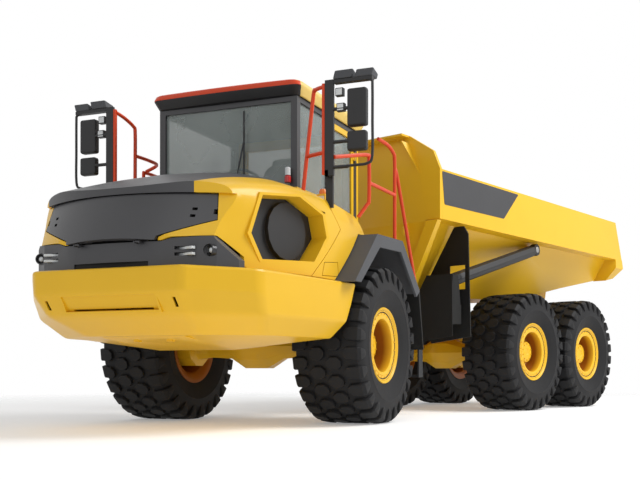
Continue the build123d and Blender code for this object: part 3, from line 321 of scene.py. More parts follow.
def through(points, steps):
    """A smooth run through points, steps to each span: a Catmull-Rom curve of the given points."""
    points = np.asarray(points, float)
    ends = np.concatenate([2 * points[:1] - points[1:2], points, 2 * points[-1:] - points[-2:-1]])
    t = np.linspace(0, 1, steps, endpoint=False).reshape((-1,) + (1,) * (points.ndim - 1))
    spans = [0.5 * (2 * b + (c - a) * t + (2 * a - 5 * b + 4 * c - d) * t ** 2
                    + (3 * b - a - 3 * c + d) * t ** 3)
             for a, b, c, d in zip(ends, ends[1:], ends[2:], ends[3:])]
    return np.concatenate(spans + [points[-1:]])


def both_halves(outline):
    """A half outline of (y, z) and its mirror image as one closed outline."""
    outline = [tuple(point) for point in outline]
    return outline + [(-y, z) for y, z in reversed(outline) if y > 0]


def pressed(obj, name, material, nodes=(), body="front_unit", place=on_front, edge=0.004, crease=32):
    """A panel cut to shape, put in its place with rolled edges and even shading."""
    mesh = obj.data
    points = np.empty(len(mesh.vertices) * 3)
    mesh.vertices.foreach_get("co", points)
    mesh.vertices.foreach_set("co", place(points.reshape(-1, 3)).ravel())
    work = bmesh.new()
    work.from_mesh(mesh)
    bmesh.ops.remove_doubles(work, verts=work.verts, dist=0.0002)
    bmesh.ops.dissolve_degenerate(work, edges=work.edges, dist=0.0003)
    work.to_mesh(mesh)
    work.free()
    mesh.update()
    smoothed(mesh, crease)
    made = bpy.data.objects.new(name, mesh)
    rolled(made, edge, crease, harden=False)
    made.modifiers.new("even_shading", "WEIGHTED_NORMAL").keep_sharp = True
    return seated(made, body, material, nodes)


# columns: x, z of the crown, y and z of its edge, crest and shoulder, y of the side and of the foot
hood_measures = [(2.520, 2.050, 0.45, 2.045, 0.70, 2.035, 0.868, 1.985, 0.868, 0.868),
                 (2.330, 2.135, 0.45, 2.125, 0.735, 2.100, 0.905, 2.015, 0.885, 0.885),
                 (1.900, 2.290, 0.50, 2.265, 0.855, 2.20, 1.04, 2.085, 1.072, 1.072),
                 (1.350, 2.405, 0.52, 2.375, 0.985, 2.25, 1.165, 2.135, 1.222, 1.222),
                 (0.760, 2.425, 0.56, 2.385, 1.09, 2.205, 1.235, 2.11, 1.29, 1.30),
                 (0.150, 2.420, 0.56, 2.37, 1.09, 2.165, 1.25, 2.06, 1.32, 1.345)]
side_z, hood_foot, hood_wall = 1.78, 1.405, 0.040
hood_rows = np.array([[(x, 0, crown), *((x, y, z) for y, z in zip(bends[::2], bends[1::2])),
                       (x, flank, side_z), (x, foot, hood_foot)]
                      for x, crown, *bends, flank, foot in hood_measures])
lip_bottom = 2.014
bow_radius = 1.752


def hood_block(inset):
    """The hood's form drawn in by inset: a smooth surface through its rows, closed below and at both ends."""
    rows = hood_rows.copy()
    rows[..., 1] = np.maximum(rows[..., 1] - inset, 0)
    rows[..., 2] -= inset
    half = np.moveaxis(through(np.moveaxis(through(rows, 5), 1, 0), 6), 0, 1)
    half[..., 1] = np.maximum(half[..., 1], 0)
    other = half[:, :0:-1] * (1, -1, 1)
    ring = np.concatenate([half[:, ::-1], other[:, ::-1]], axis=1)
    return solid(ring, *ring.shape[:2])


def leaning_drum(radius):
    """The big drum whose front is the grille's leaning, bowed face."""
    lean, face_x, face_z = math.radians(21), 2.568, 1.744
    drum = np.stack([np.insert(circle(radius), 2, z, axis=1) for z in (-0.8, 0.8)])
    tilt = np.array(Matrix.Rotation(-lean, 3, "Y"))
    return solid(drum @ tilt.T + (face_x - bow_radius / math.cos(lean), 0, face_z), 2, len(drum[0]))


def upright_drum(radius):
    """The drum whose front is the hood lip's upright, bowed face."""
    lip_x = 2.478
    return prism(circle(radius) + (lip_x - bow_radius, 0), "z", 1.0, 2.7)


brow_wall, face_wall, seam_gap = 0.035, 0.055, 0.013
hood_outer = hood_block(0)
skin = cut(hood_outer, hood_block(hood_wall))
brow = cut(cut(upright_drum(bow_radius), upright_drum(bow_radius - brow_wall)), hood_outer, "INTERSECT")
brow = cut(brow, slab(1.2, 3, 1.0, 2.7), "INTERSECT")
upper = cut(cut(skin, upright_drum(bow_radius), "INTERSECT"), brow, "UNION")
upper = cut(upper, slab(-0.5, 3, lip_bottom, 2.6), "INTERSECT")
lower_zone = slab(-0.5, 3, 1.3, lip_bottom + 0.001)
lower = cut(cut(skin, leaning_drum(bow_radius), "INTERSECT"), lower_zone, "INTERSECT")
face = cut(leaning_drum(bow_radius), leaning_drum(bow_radius - face_wall))
face = cut(cut(face, lower_zone, "INTERSECT"), hood_outer, "INTERSECT")
skin = cut(cut(upper, lower, "UNION"), face, "UNION")
grille_room = both_halves([(0, lip_bottom), (0.846, lip_bottom), (0.879, 1.777), (0.456, 1.632),
                           (0.446, 1.590), (0, 1.590)])
band_room = both_halves([(0, 1.606), (0.480, 1.606), (0.560, 1.631), (0.886, 1.646), (1.020, 1.466),
                         (1.020, 1.380), (0, 1.380)])
skin = cut(skin, prism(grille_room, "x", 2.1, 2.9))
skin = cut(skin, prism(band_room, "x", 2.08, 2.9))

hood_seam = [(0.905, 2.6), (0.930, 2.15), (0.735, 1.905), (1.285, hood_foot)]
cowl_rear = [(0.876, hood_foot), (0.322, 1.918), (0.160, 1.925), (0.250, 2.110), (0.250, 2.6)]
split = through([(2.7, 0.64), (2.33, 0.68), (1.9, 0.80), (1.35, 0.87), (0.1, 0.905)], 5)
right_split = through([(2.7, 0.96), (2.33, 0.93), (1.9, 0.875), (1.35, 0.87), (0.1, 0.905)], 5)
crown_zone = prism([*split, *(right_split[::-1] * (1, -1))], "z", lip_bottom - 0.016, 2.7)
hood_zone = prism(hood_seam + [(2.9, hood_foot), (2.9, 2.6)], "y", -1.5, 1.5)
cowl_zone = prism([(x - seam_gap, z) for x, z in hood_seam] + cowl_rear, "y", -1.5, 1.5)
hood_part = cut(skin, hood_zone, "INTERSECT")
cowl_part = cut(cut(skin, cowl_zone, "INTERSECT"), slab(-0.9, 0.705, 1.3, 2.7, 0.87))
crown = cut(hood_part, crown_zone, "INTERSECT")
flanks = cut(hood_part, crown_zone)

# Side intakes
# Seven-cornered funnels moulded into the side panels, with a round fan screen of woven wire behind.
intake_corners = np.array([(1.900, 1.057, 2.050), (1.415, 1.185, 2.110), (1.080, 1.240, 1.990),
                           (1.020, 1.253, 1.785), (1.225, 1.215, 1.535), (1.905, 1.058, 1.490),
                           (2.040, 1.015, 1.700)])
intake_run = intake_corners[3] - intake_corners[6]
intake_slant = math.atan2(intake_run[1], -intake_run[0])
intake_out = np.array([math.sin(intake_slant), math.cos(intake_slant), 0])
intake_along = np.array([-math.cos(intake_slant), math.sin(intake_slant), 0])
intake_base = np.array([1.5, 1.15, 1.8])
intake_flat = np.stack([(intake_corners - intake_base) @ intake_along, intake_corners[:, 2] - intake_base[2]],
                       axis=1)


def funnel(rows, side):
    """The intake's outline at each depth along its axis, grown about its middle, as one body."""
    rings = np.stack([intake_base + intake_out * depth + intake_flat[:, :1] * grow * intake_along
                      + intake_flat[:, 1:] * grow * (0, 0, 1) for depth, grow in rows])
    return solid(rings * (1, side, 1), len(rows), len(intake_flat))


for side in (1, -1):
    wall = cut(funnel([(-0.15, 1.03), (0.015, 1.06)], side), crown_zone)
    flanks = cut(flanks, wall, "UNION")
    flanks = cut(flanks, funnel([(-0.21, 0.94), (-0.02, 0.975), (0.14, 1.0)], side))
pressed(crown, "hood_crown", charcoal, ["hood_top"], "hood")
pressed(flanks, "hood_flanks", yellow, ["hood_sides"], "hood")
pressed(cut(cowl_part, crown_zone, "INTERSECT"), "cowl_crown", charcoal, ["cowl_top"])
cowl_flanks = cut(cowl_part, crown_zone)
hatch = np.array([(1.070, 1.555), (0.820, 1.580), (0.800, 1.440), (1.110, 1.425)])
hatch_middle = np.mean(hatch, axis=0)
hatch_inside = hatch_middle + (hatch - hatch_middle) * 0.93
for side in (1, -1):
    groove = cut(prism(hatch, "y", side, side * 1.5), prism(hatch_inside, "y", side * 0.9, side * 1.6))
    cowl_flanks = cut(cowl_flanks, groove)
pressed(cowl_flanks, "cowl_flanks", yellow, ["cowl_sides"])

# Grille
# One bowed, leaning panel of charcoal plastic that folds down as a step, with three small slots at
# each end; its top edge closes under the hood's lip and its lower edge over the lamp band.
grille_outline = both_halves([(0, 2.008), (0.840, 2.008), (0.873, 1.783), (0.450, 1.640), (0.440, 1.606),
                              (0, 1.606)])
grille_panel = cut(leaning_drum(bow_radius - 0.001), leaning_drum(bow_radius - 0.032))
grille_panel = cut(grille_panel, prism(grille_outline, "x", 2.1, 2.9), "INTERSECT")
# columns of the slots: y of the middle, z of the middle, half width, half height
for y, z, half, high in ((0.700, 1.872, 0.020, 0.012), (0.694, 1.812, 0.020, 0.012),
                         (0.852, 1.850, 0.014, 0.022)):
    for side in (1, -1):
        slot_outline = [(side * y + a * half, z + b * high) for a, b in ((-1, -1), (1, -1), (1, 1), (-1, 1))]
        grille_panel = cut(grille_panel, prism(slot_outline, "x", 2.0, 2.9))
pressed(grille_panel, "grille_panel", charcoal, ["grille"], "grille_step", edge=0.005)

# Bumper
# A folded and welded steel nose in yellow enamel: an upright band with a rolled top edge, undercut
# to a chin below, wrapped round to both front wheels and closed underneath by folded side plates.
# columns: z, x of the rear ends, half width, x and y of the corner bend, x and y of the nose bend
bumper_rows = np.array([(1.390, 0.640, 1.400, 2.130, 1.185, 2.620, 0.740),
                        (1.185, 0.745, 1.400, 2.110, 1.185, 2.612, 0.735),
                        (1.010, 0.850, 1.395, 2.050, 1.170, 2.480, 0.700),
                        (0.845, 0.985, 1.290, 1.850, 1.060, 2.150, 0.560)])


def rounded(outline, reach, steps=5):
    """Each corner of a closed outline swung round by a quadratic curve that starts reach before it."""
    outline = np.asarray(outline, float)
    back, ahead = np.roll(outline, 1, axis=0) - outline, np.roll(outline, -1, axis=0) - outline
    reach = np.broadcast_to(reach, len(outline))[:, None]
    start = outline + back / np.linalg.norm(back, axis=1, keepdims=True) * reach
    end = outline + ahead / np.linalg.norm(ahead, axis=1, keepdims=True) * reach
    t = np.linspace(0, 1, steps)[None, :, None]
    curve = start[:, None] * (1 - t) ** 2 + 2 * outline[:, None] * t * (1 - t) + end[:, None] * t ** 2
    return curve.reshape(-1, outline.shape[1])


def bumper_body(levels, inset, wall, back):
    """The nose as level outlines, drawn in by inset at each level and by wall all round."""
    rings = []
    for z, drawn in zip(levels, inset):
        spread = [np.interp(z + step, bumper_rows[::-1, 0], column[::-1])
                  for column in bumper_rows[:, 1:].T for step in (-0.016, 0, 0.016)]
        rear_x, half, bend_x, bend_y, nose_x, nose_y = np.mean(np.reshape(spread, (6, 3)), axis=1)
        inward = wall + drawn
        side = [(rear_x - back, half - inward), (bend_x - inward, bend_y - inward),
                (nose_x - inward, nose_y - inward / 2)]
        ring = rounded(side + [(x, -y) for x, y in reversed(side)], [0.004, 0.07, 0.05, 0.05, 0.07, 0.004])
        rings.append(np.insert(ring, 2, z, axis=1))
    return solid(rings, len(rings), len(rings[0]))


bumper_levels = np.array([0.845, 0.850, 0.870, 0.960, 0.990, 1.010, 1.030, 1.080, 1.150, 1.172, 1.185, 1.200,
                          1.250, 1.366, 1.382, 1.390])
bumper_inset = np.interp(bumper_levels, [0.845, 0.850, 0.870, 1.366, 1.382, 1.390],
                         [0.020, 0.008, 0, 0, 0.006, 0.020])
hollow_levels = np.concatenate([[0.865], bumper_levels[3:-2], [1.370]])
plate_wall, hollow_back = 0.020, 0.5
nose = cut(bumper_body(bumper_levels, bumper_inset, 0, 0),
           bumper_body(hollow_levels, np.zeros(len(hollow_levels)), plate_wall, hollow_back))
for bends, low, high in (([(-0.9, 0.745), (1.94, 0.745), (2.08, 0.50)], 0.7, 0.95),
                         ([(-0.9, 0.76), (2.14, 0.76), (2.28, 0.55)], 0.94, 1.45)):
    nose = cut(nose, prism([(x, -y) for x, y in bends] + bends[::-1], "z", low, high))
recess_room = prism([(2.70, 1.163), (2.70, 1.040), (2.490, 1.040), (2.582, 1.163)], "y", -0.465, 0.465)
pocket_back = cut(prism([(2.60, 1.180), (2.513, 1.022), (2.44, 1.022), (2.53, 1.180)], "y", -0.485, 0.485),
                  recess_room)
nose = cut(cut(nose, pocket_back, "UNION"), recess_room)
nose = cut(nose, prism([(2.70, 1.062), (2.70, 1.048), (2.30, 1.048), (2.30, 1.062)], "y", -0.40, 0.40))
tow_pocket = [(2.70, 1.135), (2.70, 1.060), (2.43, 1.060), (2.47, 1.135)]
for side in (1, -1):
    nose = cut(nose, prism(tow_pocket, "y", side * 0.622, side * 0.652))
pressed(nose, "bumper_nose", yellow, ["bumper"], edge=0.006, crease=24)
both_sides = ((1, "left"), (-1, "right"))
chin_edges = np.array([
    [(2.13, 0.425, 0.862), (1.85, 0.425, 0.806), (1.25, 0.425, 0.744), (0.99, 0.425, 0.762)],
    [(2.13, 0.560, 0.848), (1.84, 1.045, 0.848), (1.45, 1.160, 0.848), (0.99, 1.275, 0.848)]])
chin_thick = (0, 0, 0.012)
for side, name in both_sides:
    inner, outer = chin_edges * (1, side, 1)
    plate = solid(np.stack([inner, outer, outer + chin_thick, inner + chin_thick], axis=1), len(inner), 4)
    pressed(plate, "chin_plate_" + name, yellow, edge=0.003)

# Rear frame and the plain nodes
# Welded box rails in yellow; the faces of the cross beam that carries the hoist cylinders take the black
# rubber finish as painted shade, so that the beam merges with the dark splash plates. The pieces of the frame
# whose shape is right get rounded edges and their paint.
chassis = wet_paint("chassis_enamel", (0.020, 0.021, 0.023), (0.032, 0.032, 0.034), 0.5, 0.05,
                    dusty=(0.10, 0.085, 0.065))
cream = wet_paint("roof_enamel", (0.83, 0.60, 0.16), (0.78, 0.55, 0.13), 0.4, 0.1, 0)
orange = wet_paint("orange_enamel", (0.72, 0.060, 0.010), (0.66, 0.050, 0.009), 0.38, 0.1, 0.1)
black = moulded("black_moulding", (0.011, 0.011, 0.012), (0.019, 0.019, 0.020), 0.5)
grey = moulded("grey_moulding", (0.058, 0.061, 0.068), (0.076, 0.079, 0.086), 0.6)
flap_rubber = moulded("flap_rubber", (0.009, 0.009, 0.009), (0.015, 0.015, 0.014), 0.7, shine=0.25)
iron = wet_paint("cast_iron", (0.030, 0.028, 0.026), (0.050, 0.043, 0.036), 0.7, 0, 0.9,
                 dusty=(0.12, 0.10, 0.075))
finish_of = {"yellow_paint": yellow, "charcoal_paint": charcoal, "chassis_paint": chassis,
             "grey_plastic": grey, "rubber": flap_rubber, "iron": iron}
bodies = frame["record"]["behaviour"]["bodies"]
body_of_node = {node: body for body, nodes in bodies.items() for node in nodes}
slot_of_node = {row["node"]: row["material_slot"] for row in frame["record"]["subparts"]}


def softened(node, material):
    """A pressed or welded piece of the frame with its edges rounded over, standing for its node."""
    work = bmesh.new()
    work.from_mesh(frame["nodes"][node].data)
    bmesh.ops.remove_doubles(work, verts=work.verts, dist=0.00002)
    bmesh.ops.dissolve_limit(work, angle_limit=math.radians(0.6), verts=work.verts, edges=work.edges)
    mesh = bpy.data.meshes.new(node + "_shape")
    work.to_mesh(mesh)
    work.free()
    smoothed(mesh, 30)
    obj = bpy.data.objects.new(node + "_shape", mesh)
    rolled(obj, 0.004, 30)
    return seated(obj, body_of_node[node], material, [node])


rear_shape = softened("rear_frame", [yellow, flap_rubber])
face_middles = np.array([face.center for face in rear_shape.data.polygons])
straight = (face_middles - on_front([hitch_x, 0, 0])) @ rear_turn + (hitch_x, 0, 0)
# the cross beam's faces, given the black finish as painted shade
beam_painted_shade = (np.abs(straight[:, 0] + 2.42) < 0.17) & (np.abs(straight[:, 1]) > 0.78)
rear_shape.data.polygons.foreach_set("material_index", beam_painted_shade.astype(np.int32))
own_section = ("cab_glass", "door_glass", "driver_seat", "hood_top", "hood_sides", "cowl_top", "cowl_sides",
               "grille", "bumper", "rear_frame", "cab_roof", "front_lamps", "dashboard", "handrails")
shown_yellow = ("front_frame", "front_axle", "bogie_axles")
shown_black = ("fan_screens", "hoist_barrel_left", "hoist_barrel_right")
for node in sorted(frame["nodes"]):
    if node not in own_section and not node.startswith(("tyre_", "rim_", "mirrors_")):
        slot = "yellow_paint" if node in shown_yellow else slot_of_node[node]
        softened(node, black if node in shown_black else finish_of.get(slot, black))

# Splash skirts
# Flat black rubber sheets bolted to the front of the cross beam, ahead of the splash plates.
skirt_outline = [(1.00, 1.722), (1.375, 1.722), (1.383, 0.967), (0.860, 0.900), (0.800, 1.086),
                 (0.830, 1.450)]
for side, name in both_sides:
    sheet = prism([(side * y, z) for y, z in skirt_outline], "x", -2.275, -2.267)
    pressed(sheet, "splash_skirt_" + name, flap_rubber, (), "rear_unit", on_rear, 0.002)


# Front lamps
# Two pairs of slim light bars and two round lamps sunk in the dark band, each a clear moulded lens
# over a bright reflector, and the amber marker on its box ahead of the walkway.
def turned(profile, count):
    """A closed outline of (radius, y) turned about Y: point (i, j) is outline point j at angle i."""
    radius, y = np.asarray(profile, float).T
    across, up = circle(1, count).T
    points = np.stack([np.outer(across, radius), np.tile(y, (count, 1)), np.outer(up, radius)], axis=-1)
    return points.reshape(-1, 3), grid_sides(count, len(profile), closed=True)


def joined(parts, shapes):
    """Several point sets and their faces as one mesh."""
    starts = np.cumsum([0] + [len(points) for points in parts[:-1]])
    return np.vstack(parts), [np.add(face, start) for start, faces in zip(starts, shapes) for face in faces]


def bricks(rows, side=1):
    """Boxes, each from x, y and z of one corner and of the other, and a material number."""
    bits = np.array([(i >> 2 & 1, i >> 1 & 1, i & 1) for i in range(8)])
    faces = np.array([(0, 1, 3, 2), (4, 6, 7, 5), (0, 4, 5, 1), (2, 3, 7, 6), (0, 2, 6, 4), (1, 5, 7, 3)])
    boxes = []
    for *ends, number in rows:
        ends = np.sort(np.reshape(ends, (2, 3)) * (1, side, 1), axis=0)
        boxes.append((ends[0] + bits * (ends[1] - ends[0]), faces, number))
    return boxes


def tube(points, radius, count=16):
    """A round bar along a row of points, closed at both ends, with material number 0."""
    points = np.asarray(points, float)
    ahead = np.gradient(points, axis=0)
    ahead /= np.linalg.norm(ahead, axis=1, keepdims=True)
    across = np.cross(ahead, np.where(np.abs(ahead[:, 2:]) > 0.9, (1.0, 0, 0), (0, 0, 1.0)))
    across /= np.linalg.norm(across, axis=1, keepdims=True)
    for i in range(1, len(across)):
        across[i] = across[i - 1] - ahead[i] * (across[i - 1] @ ahead[i])
        across[i] /= np.linalg.norm(across[i])
    up = np.cross(ahead, across)
    turn_across, turn_up = circle(1, count).T[:, None, :, None]
    rings = points[:, None] + radius * (turn_across * across[:, None] + turn_up * up[:, None])
    rows = len(points)
    faces = grid_sides(rows, count)[:, ::-1].tolist()
    middle, start = rows * count, (rows - 1) * count
    faces += [(middle, j, (j + 1) % count) for j in range(count)]
    faces += [(middle + 1, start + (j + 1) % count, start + j) for j in range(count)]
    return np.vstack([rings.reshape(-1, 3), points[:1], points[-1:]]), faces, 0


def aimed(points, place, out):
    """Points whose Y axis is swung to point out, moved to a place."""
    swing = np.array(Vector(out).to_track_quat("Y", "Z").to_matrix())
    return points @ swing.T + place


def knob(profile, count, place, out=(0, 0, 1), number=0):
    """An outline of (radius, height) turned about its axis and stood at a place, and a material number."""
    points, faces = turned(profile, count)
    return aimed(points, place, out), faces, number


def shell(name, points, faces, crease):
    """A mesh from points and faces, smooth but for its creases."""
    mesh = bpy.data.meshes.new(name)
    mesh.from_pydata(np.asarray(points, float).tolist(), [], [list(map(int, face)) for face in faces])
    smoothed(mesh, crease)
    return bpy.data.objects.new(name, mesh)


def built(name, parts, materials=black, nodes=(), body="front_unit", place=on_front,
          edge=0.003):
    """One piece from parts of (points, faces, material number), its sharp edges rounded over."""
    point_sets, shapes, numbers = zip(*parts)
    points, faces = joined(point_sets, shapes)
    obj = shell(name, place(points), faces, 32)
    seated(obj, body, materials, nodes)
    numbers = np.repeat(numbers, [len(shape) for shape in shapes])
    obj.data.polygons.foreach_set("material_index", numbers.astype(np.int32))
    if edge:
        rolled(obj, edge, 32)
    return obj


lens = Finish("pale_lens", Roughness=0.12, Specular_IOR_Level=0.7)
ribs = lens.make("ShaderNodeTexWave", "Fac", {"bands_direction": "Y"}, Vector=lens.place, Scale=90,
                 Distortion=0.2)
lens.coat(Base_Color=lens.mix(ribs, (0.74, 0.77, 0.78), (0.62, 0.65, 0.67)),
          Roughness=0.1 + 0.1 * lens.noise(30), Normal=lens.bump(ribs, 0.001, 0.3))


def speckled(name, blotch, first, second, rough, spread, rough_blotch, relief=(), **plain):
    """Faint blotches of two colours and uneven gloss; relief is a grain's scale, depth and strength."""
    finish = Finish(name, **plain)
    finish.coat(Base_Color=finish.mix(finish.noise(blotch), first, second),
                Roughness=rough + spread * finish.noise(rough_blotch))
    if relief:
        finish.coat(Normal=finish.bump(finish.noise(relief[0]), *relief[1:]))
    return finish.material


bezel = speckled("lamp_bowl", 40, (0.050, 0.050, 0.052), (0.030, 0.030, 0.032), 0.22, 0.1, 60,
                 (300, 0.0003, 0.2), Metallic=0.5, Roughness=0.25)
amber = speckled("amber_lens", 20, (0.85, 0.22, 0.01), (0.75, 0.17, 0.01), 0.18, 0.1, 35, (120, 0.0005, 0.3),
                 Roughness=0.2)
band_bends = np.array([(2.560, 0), (2.535, 0.420), (2.420, 0.790), (2.360, 0.905), (2.185, 1.010)])


def band_place(y, z):
    """A place on the lamp band's face, the way along it and the way out of it."""
    row = int(np.searchsorted(band_bends[:, 1], abs(y))) - 1
    step = band_bends[row + 1] - band_bends[row]
    x = band_bends[row, 0] + step[0] * (abs(y) - band_bends[row, 1]) / step[1]
    out = np.array([step[1], -math.copysign(step[0], y), 0]) / np.hypot(*step)
    return np.array([x, y, z]), np.array([-out[1], out[0], 0]), out


lamp_parts = []
for side in (1, -1):
    for z in (1.492, 1.542):
        spot, along, out = band_place(side * 0.666, z)
        [(corners, faces, number)] = bricks([(-0.082, -0.040, -0.0105, 0.082, -0.004, 0.0105, 0)])
        corners = spot + corners[:, :1] * along + corners[:, 1:2] * out + corners[:, 2:] * (0, 0, 1)
        lamp_parts.append((corners, faces, number))
    spot, along, out = band_place(side * 0.855, 1.524)
    bowl = [(0.049, -0.040), (0.050, -0.002), (0.047, 0.002), (0.041, 0.001), (0.038, -0.008),
            (0.030, -0.024), (0.001, -0.030), (0.001, -0.040)]
    bulb = [(0.022, -0.024), (0.022, -0.010), (0.015, -0.003), (0.001, 0), (0.001, -0.024)]
    lamp_parts += [knob(bowl, 40, spot, out, 1), knob(bulb, 24, spot, out)]
# the foot slot's back as a black sheet, painted shade inside the slot, and the marker's box
lamp_parts += bricks([(2.523, -0.366, 1.392, 2.530, 0.366, 1.436, 4),
                      (0.582, 1.030, 2.165, 0.735, 1.118, 2.262, 3)])
marker = [(0.001, 0), (0.036, 0), (0.036, 0.030), (0.028, 0.052), (0.001, 0.058)]
lamp_parts.append(knob(marker, 32, (0.69, 1.075, 2.262), number=2))
lamp_parts += bricks([(0.736, 1.040, 2.185, 0.742, 1.110, 2.240, 0)])
built("front_lamp_set", lamp_parts, [lens.material, bezel, amber, yellow, flap_rubber],
      ["front_lamps"], edge=0.0015)

# Cab roof
# A moulded cap over the cab: a black visor under its front edge, an orange edge band ahead and
# cream sides and top.
# columns: z, rear x, front x, half width
roof_rows = [(3.262, -0.88, 0.735, 0.815), (3.270, -0.895, 0.750, 0.828), (3.335, -0.925, 0.790, 0.855),
             (3.352, -0.930, 0.800, 0.860), (3.360, -0.930, 0.802, 0.860), (3.396, -0.920, 0.792, 0.845),
             (3.408, -0.905, 0.780, 0.825), (3.420, -0.885, 0.750, 0.795), (3.427, -0.850, 0.700, 0.740)]
front_bow = 0.030
rings = []
for z, rear_x, front_x, half in roof_rows:
    ring = rounded([(rear_x, -half), (front_x - front_bow, -half), (front_x, 0), (front_x - front_bow, half),
                    (rear_x, half)], [0.08, 0.10, 0.45, 0.10, 0.08], 8)
    rings.append(np.insert(ring, 2, z, axis=1))
roof_object = pressed(solid(rings, len(rings), len(rings[0])), "roof_cap", [cream, black, orange],
                      ["cab_roof"], edge=0.002, crease=50)
roof_middles = np.array([face.center for face in roof_object.data.polygons]) - on_front([0, 0, 0])
roof_out = np.array([face.normal for face in roof_object.data.polygons])
ahead = (roof_out[:, 0] > 0.35) & (roof_middles[:, 0] > 0.6)
visor = (roof_out[:, 2] < -0.9) | (ahead & (roof_middles[:, 2] < 3.352))
edge_band = ahead & (roof_middles[:, 2] > 3.352) & (roof_middles[:, 2] < 3.415)
roof_object.data.polygons.foreach_set("material_index", (visor + 2 * edge_band).astype(np.int32))

# Driver's seat
# A sprung seat: a boxed pedestal, a stuffed cushion and back in dark woven cloth with welted seams,
# and a head rest.
cloth = Finish("seat_cloth", Roughness=0.9, Specular_IOR_Level=0.2)
weave = cloth.make("ShaderNodeTexWave", "Fac", {"bands_direction": "X"}, Vector=cloth.place, Scale=260)
weft = cloth.make("ShaderNodeTexWave", "Fac", {"bands_direction": "Z"}, Vector=cloth.place, Scale=260)
cloth.coat(Base_Color=cloth.mix(weave * weft, (0.020, 0.020, 0.022), (0.045, 0.045, 0.050)),
           Roughness=0.85 + 0.1 * cloth.noise(12), Normal=cloth.bump(weave * weft, 0.001, 0.5))


def stuffed(half_long, half_wide, thick, crown):
    """A crowned cushion: rings of a squared oval from the seam out, over the crown and back below."""
    oval = circle(1, 48)
    oval = np.sign(oval) * np.abs(oval) ** 0.45
    swing = np.linspace(-np.pi / 2, np.pi / 2, 25)
    reach = np.cos(swing) ** 0.32
    height = np.sin(swing) * thick / 2
    seam = np.exp(-(swing / 0.10) ** 2) * 0.010
    rings = []
    for share, z, welt, turn in zip(reach, height, seam, swing):
        size = np.array([half_long, half_wide]) * max(share, 0.02) + welt
        puff = crown * max(math.sin(turn), 0) ** 2 * (1 - max(share, 0.02) ** 3)
        rings.append(np.insert(oval * size, 2, z + puff, axis=1))
    return rings


for name, place, lean, sizes in (("seat_cushion", (-0.21, 0, 2.205), 4, (0.265, 0.255, 0.13, 0.02)),
                                 ("seat_back", (-0.475, 0, 2.55), -100, (0.345, 0.235, 0.11, 0.02)),
                                 ("seat_head_rest", (-0.555, 0, 2.89), -100, (0.075, 0.14, 0.08, 0.01))):
    rings = np.array(stuffed(*sizes))
    tilt = np.array(Matrix.Rotation(math.radians(lean), 3, "Y"))
    pad = solid(rings @ tilt.T + place, len(rings), rings.shape[1])
    made = pressed(pad, name, cloth.material, ["driver_seat"] if name == "seat_cushion" else [],
                   edge=0.0005, crease=60)
pedestal = bricks([(-0.40, -0.17, 1.80, -0.10, 0.17, 1.86, 0), (-0.37, -0.15, 1.86, -0.13, 0.15, 2.08, 0),
                   (-0.42, -0.20, 2.08, -0.06, 0.20, 2.14, 0)])
built("seat_pedestal", pedestal, edge=0.012)

# Dashboard
# A moulded console across the cab with a hooded dial panel, a column and a three-spoked wheel.
dash_outline = [(0.645, 1.80), (0.645, 2.415), (0.560, 2.445), (0.440, 2.345), (0.520, 2.150), (0.560, 1.80)]
dash_block = prism(dash_outline, "y", -0.695, 0.695)
pressed(dash_block, "dash_console", black, ["dashboard"], edge=0.012)
wheel_out = Vector((-0.5, 0, 0.75)).normalized()
wheel_middle = np.array([0.315, 0, 2.522])
around = 2 * np.pi * np.arange(49) / 48
ring_radius = 0.20
ring_run = np.stack([ring_radius * np.cos(around), 0 * around, ring_radius * np.sin(around)], axis=1)
wheel_parts = [tube(aimed(ring_run, wheel_middle, wheel_out), 0.015),
               tube([(0.52, 0, 2.21), (0.33, 0, 2.50)], 0.034)]
for turn in np.radians((90, 210, 330)):
    spoke = np.array([(0, 0, 0), (ring_radius * math.cos(turn), 0, ring_radius * math.sin(turn))])
    wheel_parts.append(tube(aimed(spoke, wheel_middle, wheel_out), 0.013))
hub_cap = [(0.001, -0.02), (0.05, -0.02), (0.055, 0.01), (0.03, 0.02), (0.001, 0.022)]
wheel_parts.append(knob(hub_cap, 32, wheel_middle, wheel_out))
built("steering_wheel", wheel_parts, edge=0)

# Mirrors
# On each side a folded plate carries two mirror heads on arms, inside a bent tube guard, and two
# work lamps on a bar above.
mirror_glass = speckled("mirror_glass", 8, (0.50, 0.52, 0.54), (0.44, 0.46, 0.48), 0.04, 0.06, 15,
                        Metallic=1.0, Roughness=0.05)
# the folded plate and its brackets, then two small lamps (1 is their lens)
mirror_bricks = [(0.910, 1.210, 2.385, 0.940, 1.298, 3.290, 0), (0.880, 1.300, 3.252, 0.940, 1.690, 3.285, 0),
                 (0.845, 1.208, 2.385, 0.940, 1.245, 2.440, 0), (0.845, 1.190, 2.095, 0.872, 1.262, 2.440, 0),
                 (0.890, 1.318, 3.130, 0.938, 1.395, 3.205, 0), (0.890, 1.330, 2.985, 0.938, 1.408, 3.060, 0),
                 (0.938, 1.326, 3.138, 0.941, 1.387, 3.197, 1), (0.938, 1.338, 2.993, 0.941, 1.400, 3.052, 1)]
guard_corners = [(0.925, y, z) for y, z in ((1.300, 2.467), (1.52, 2.467), (1.640, 2.475), (1.688, 2.540),
                                            (1.690, 2.86), (1.690, 3.180), (1.680, 3.245), (1.60, 3.268))]
head_front, head_inner, head_outer, glass_rim = 0.948, 1.435, 1.632, 0.022
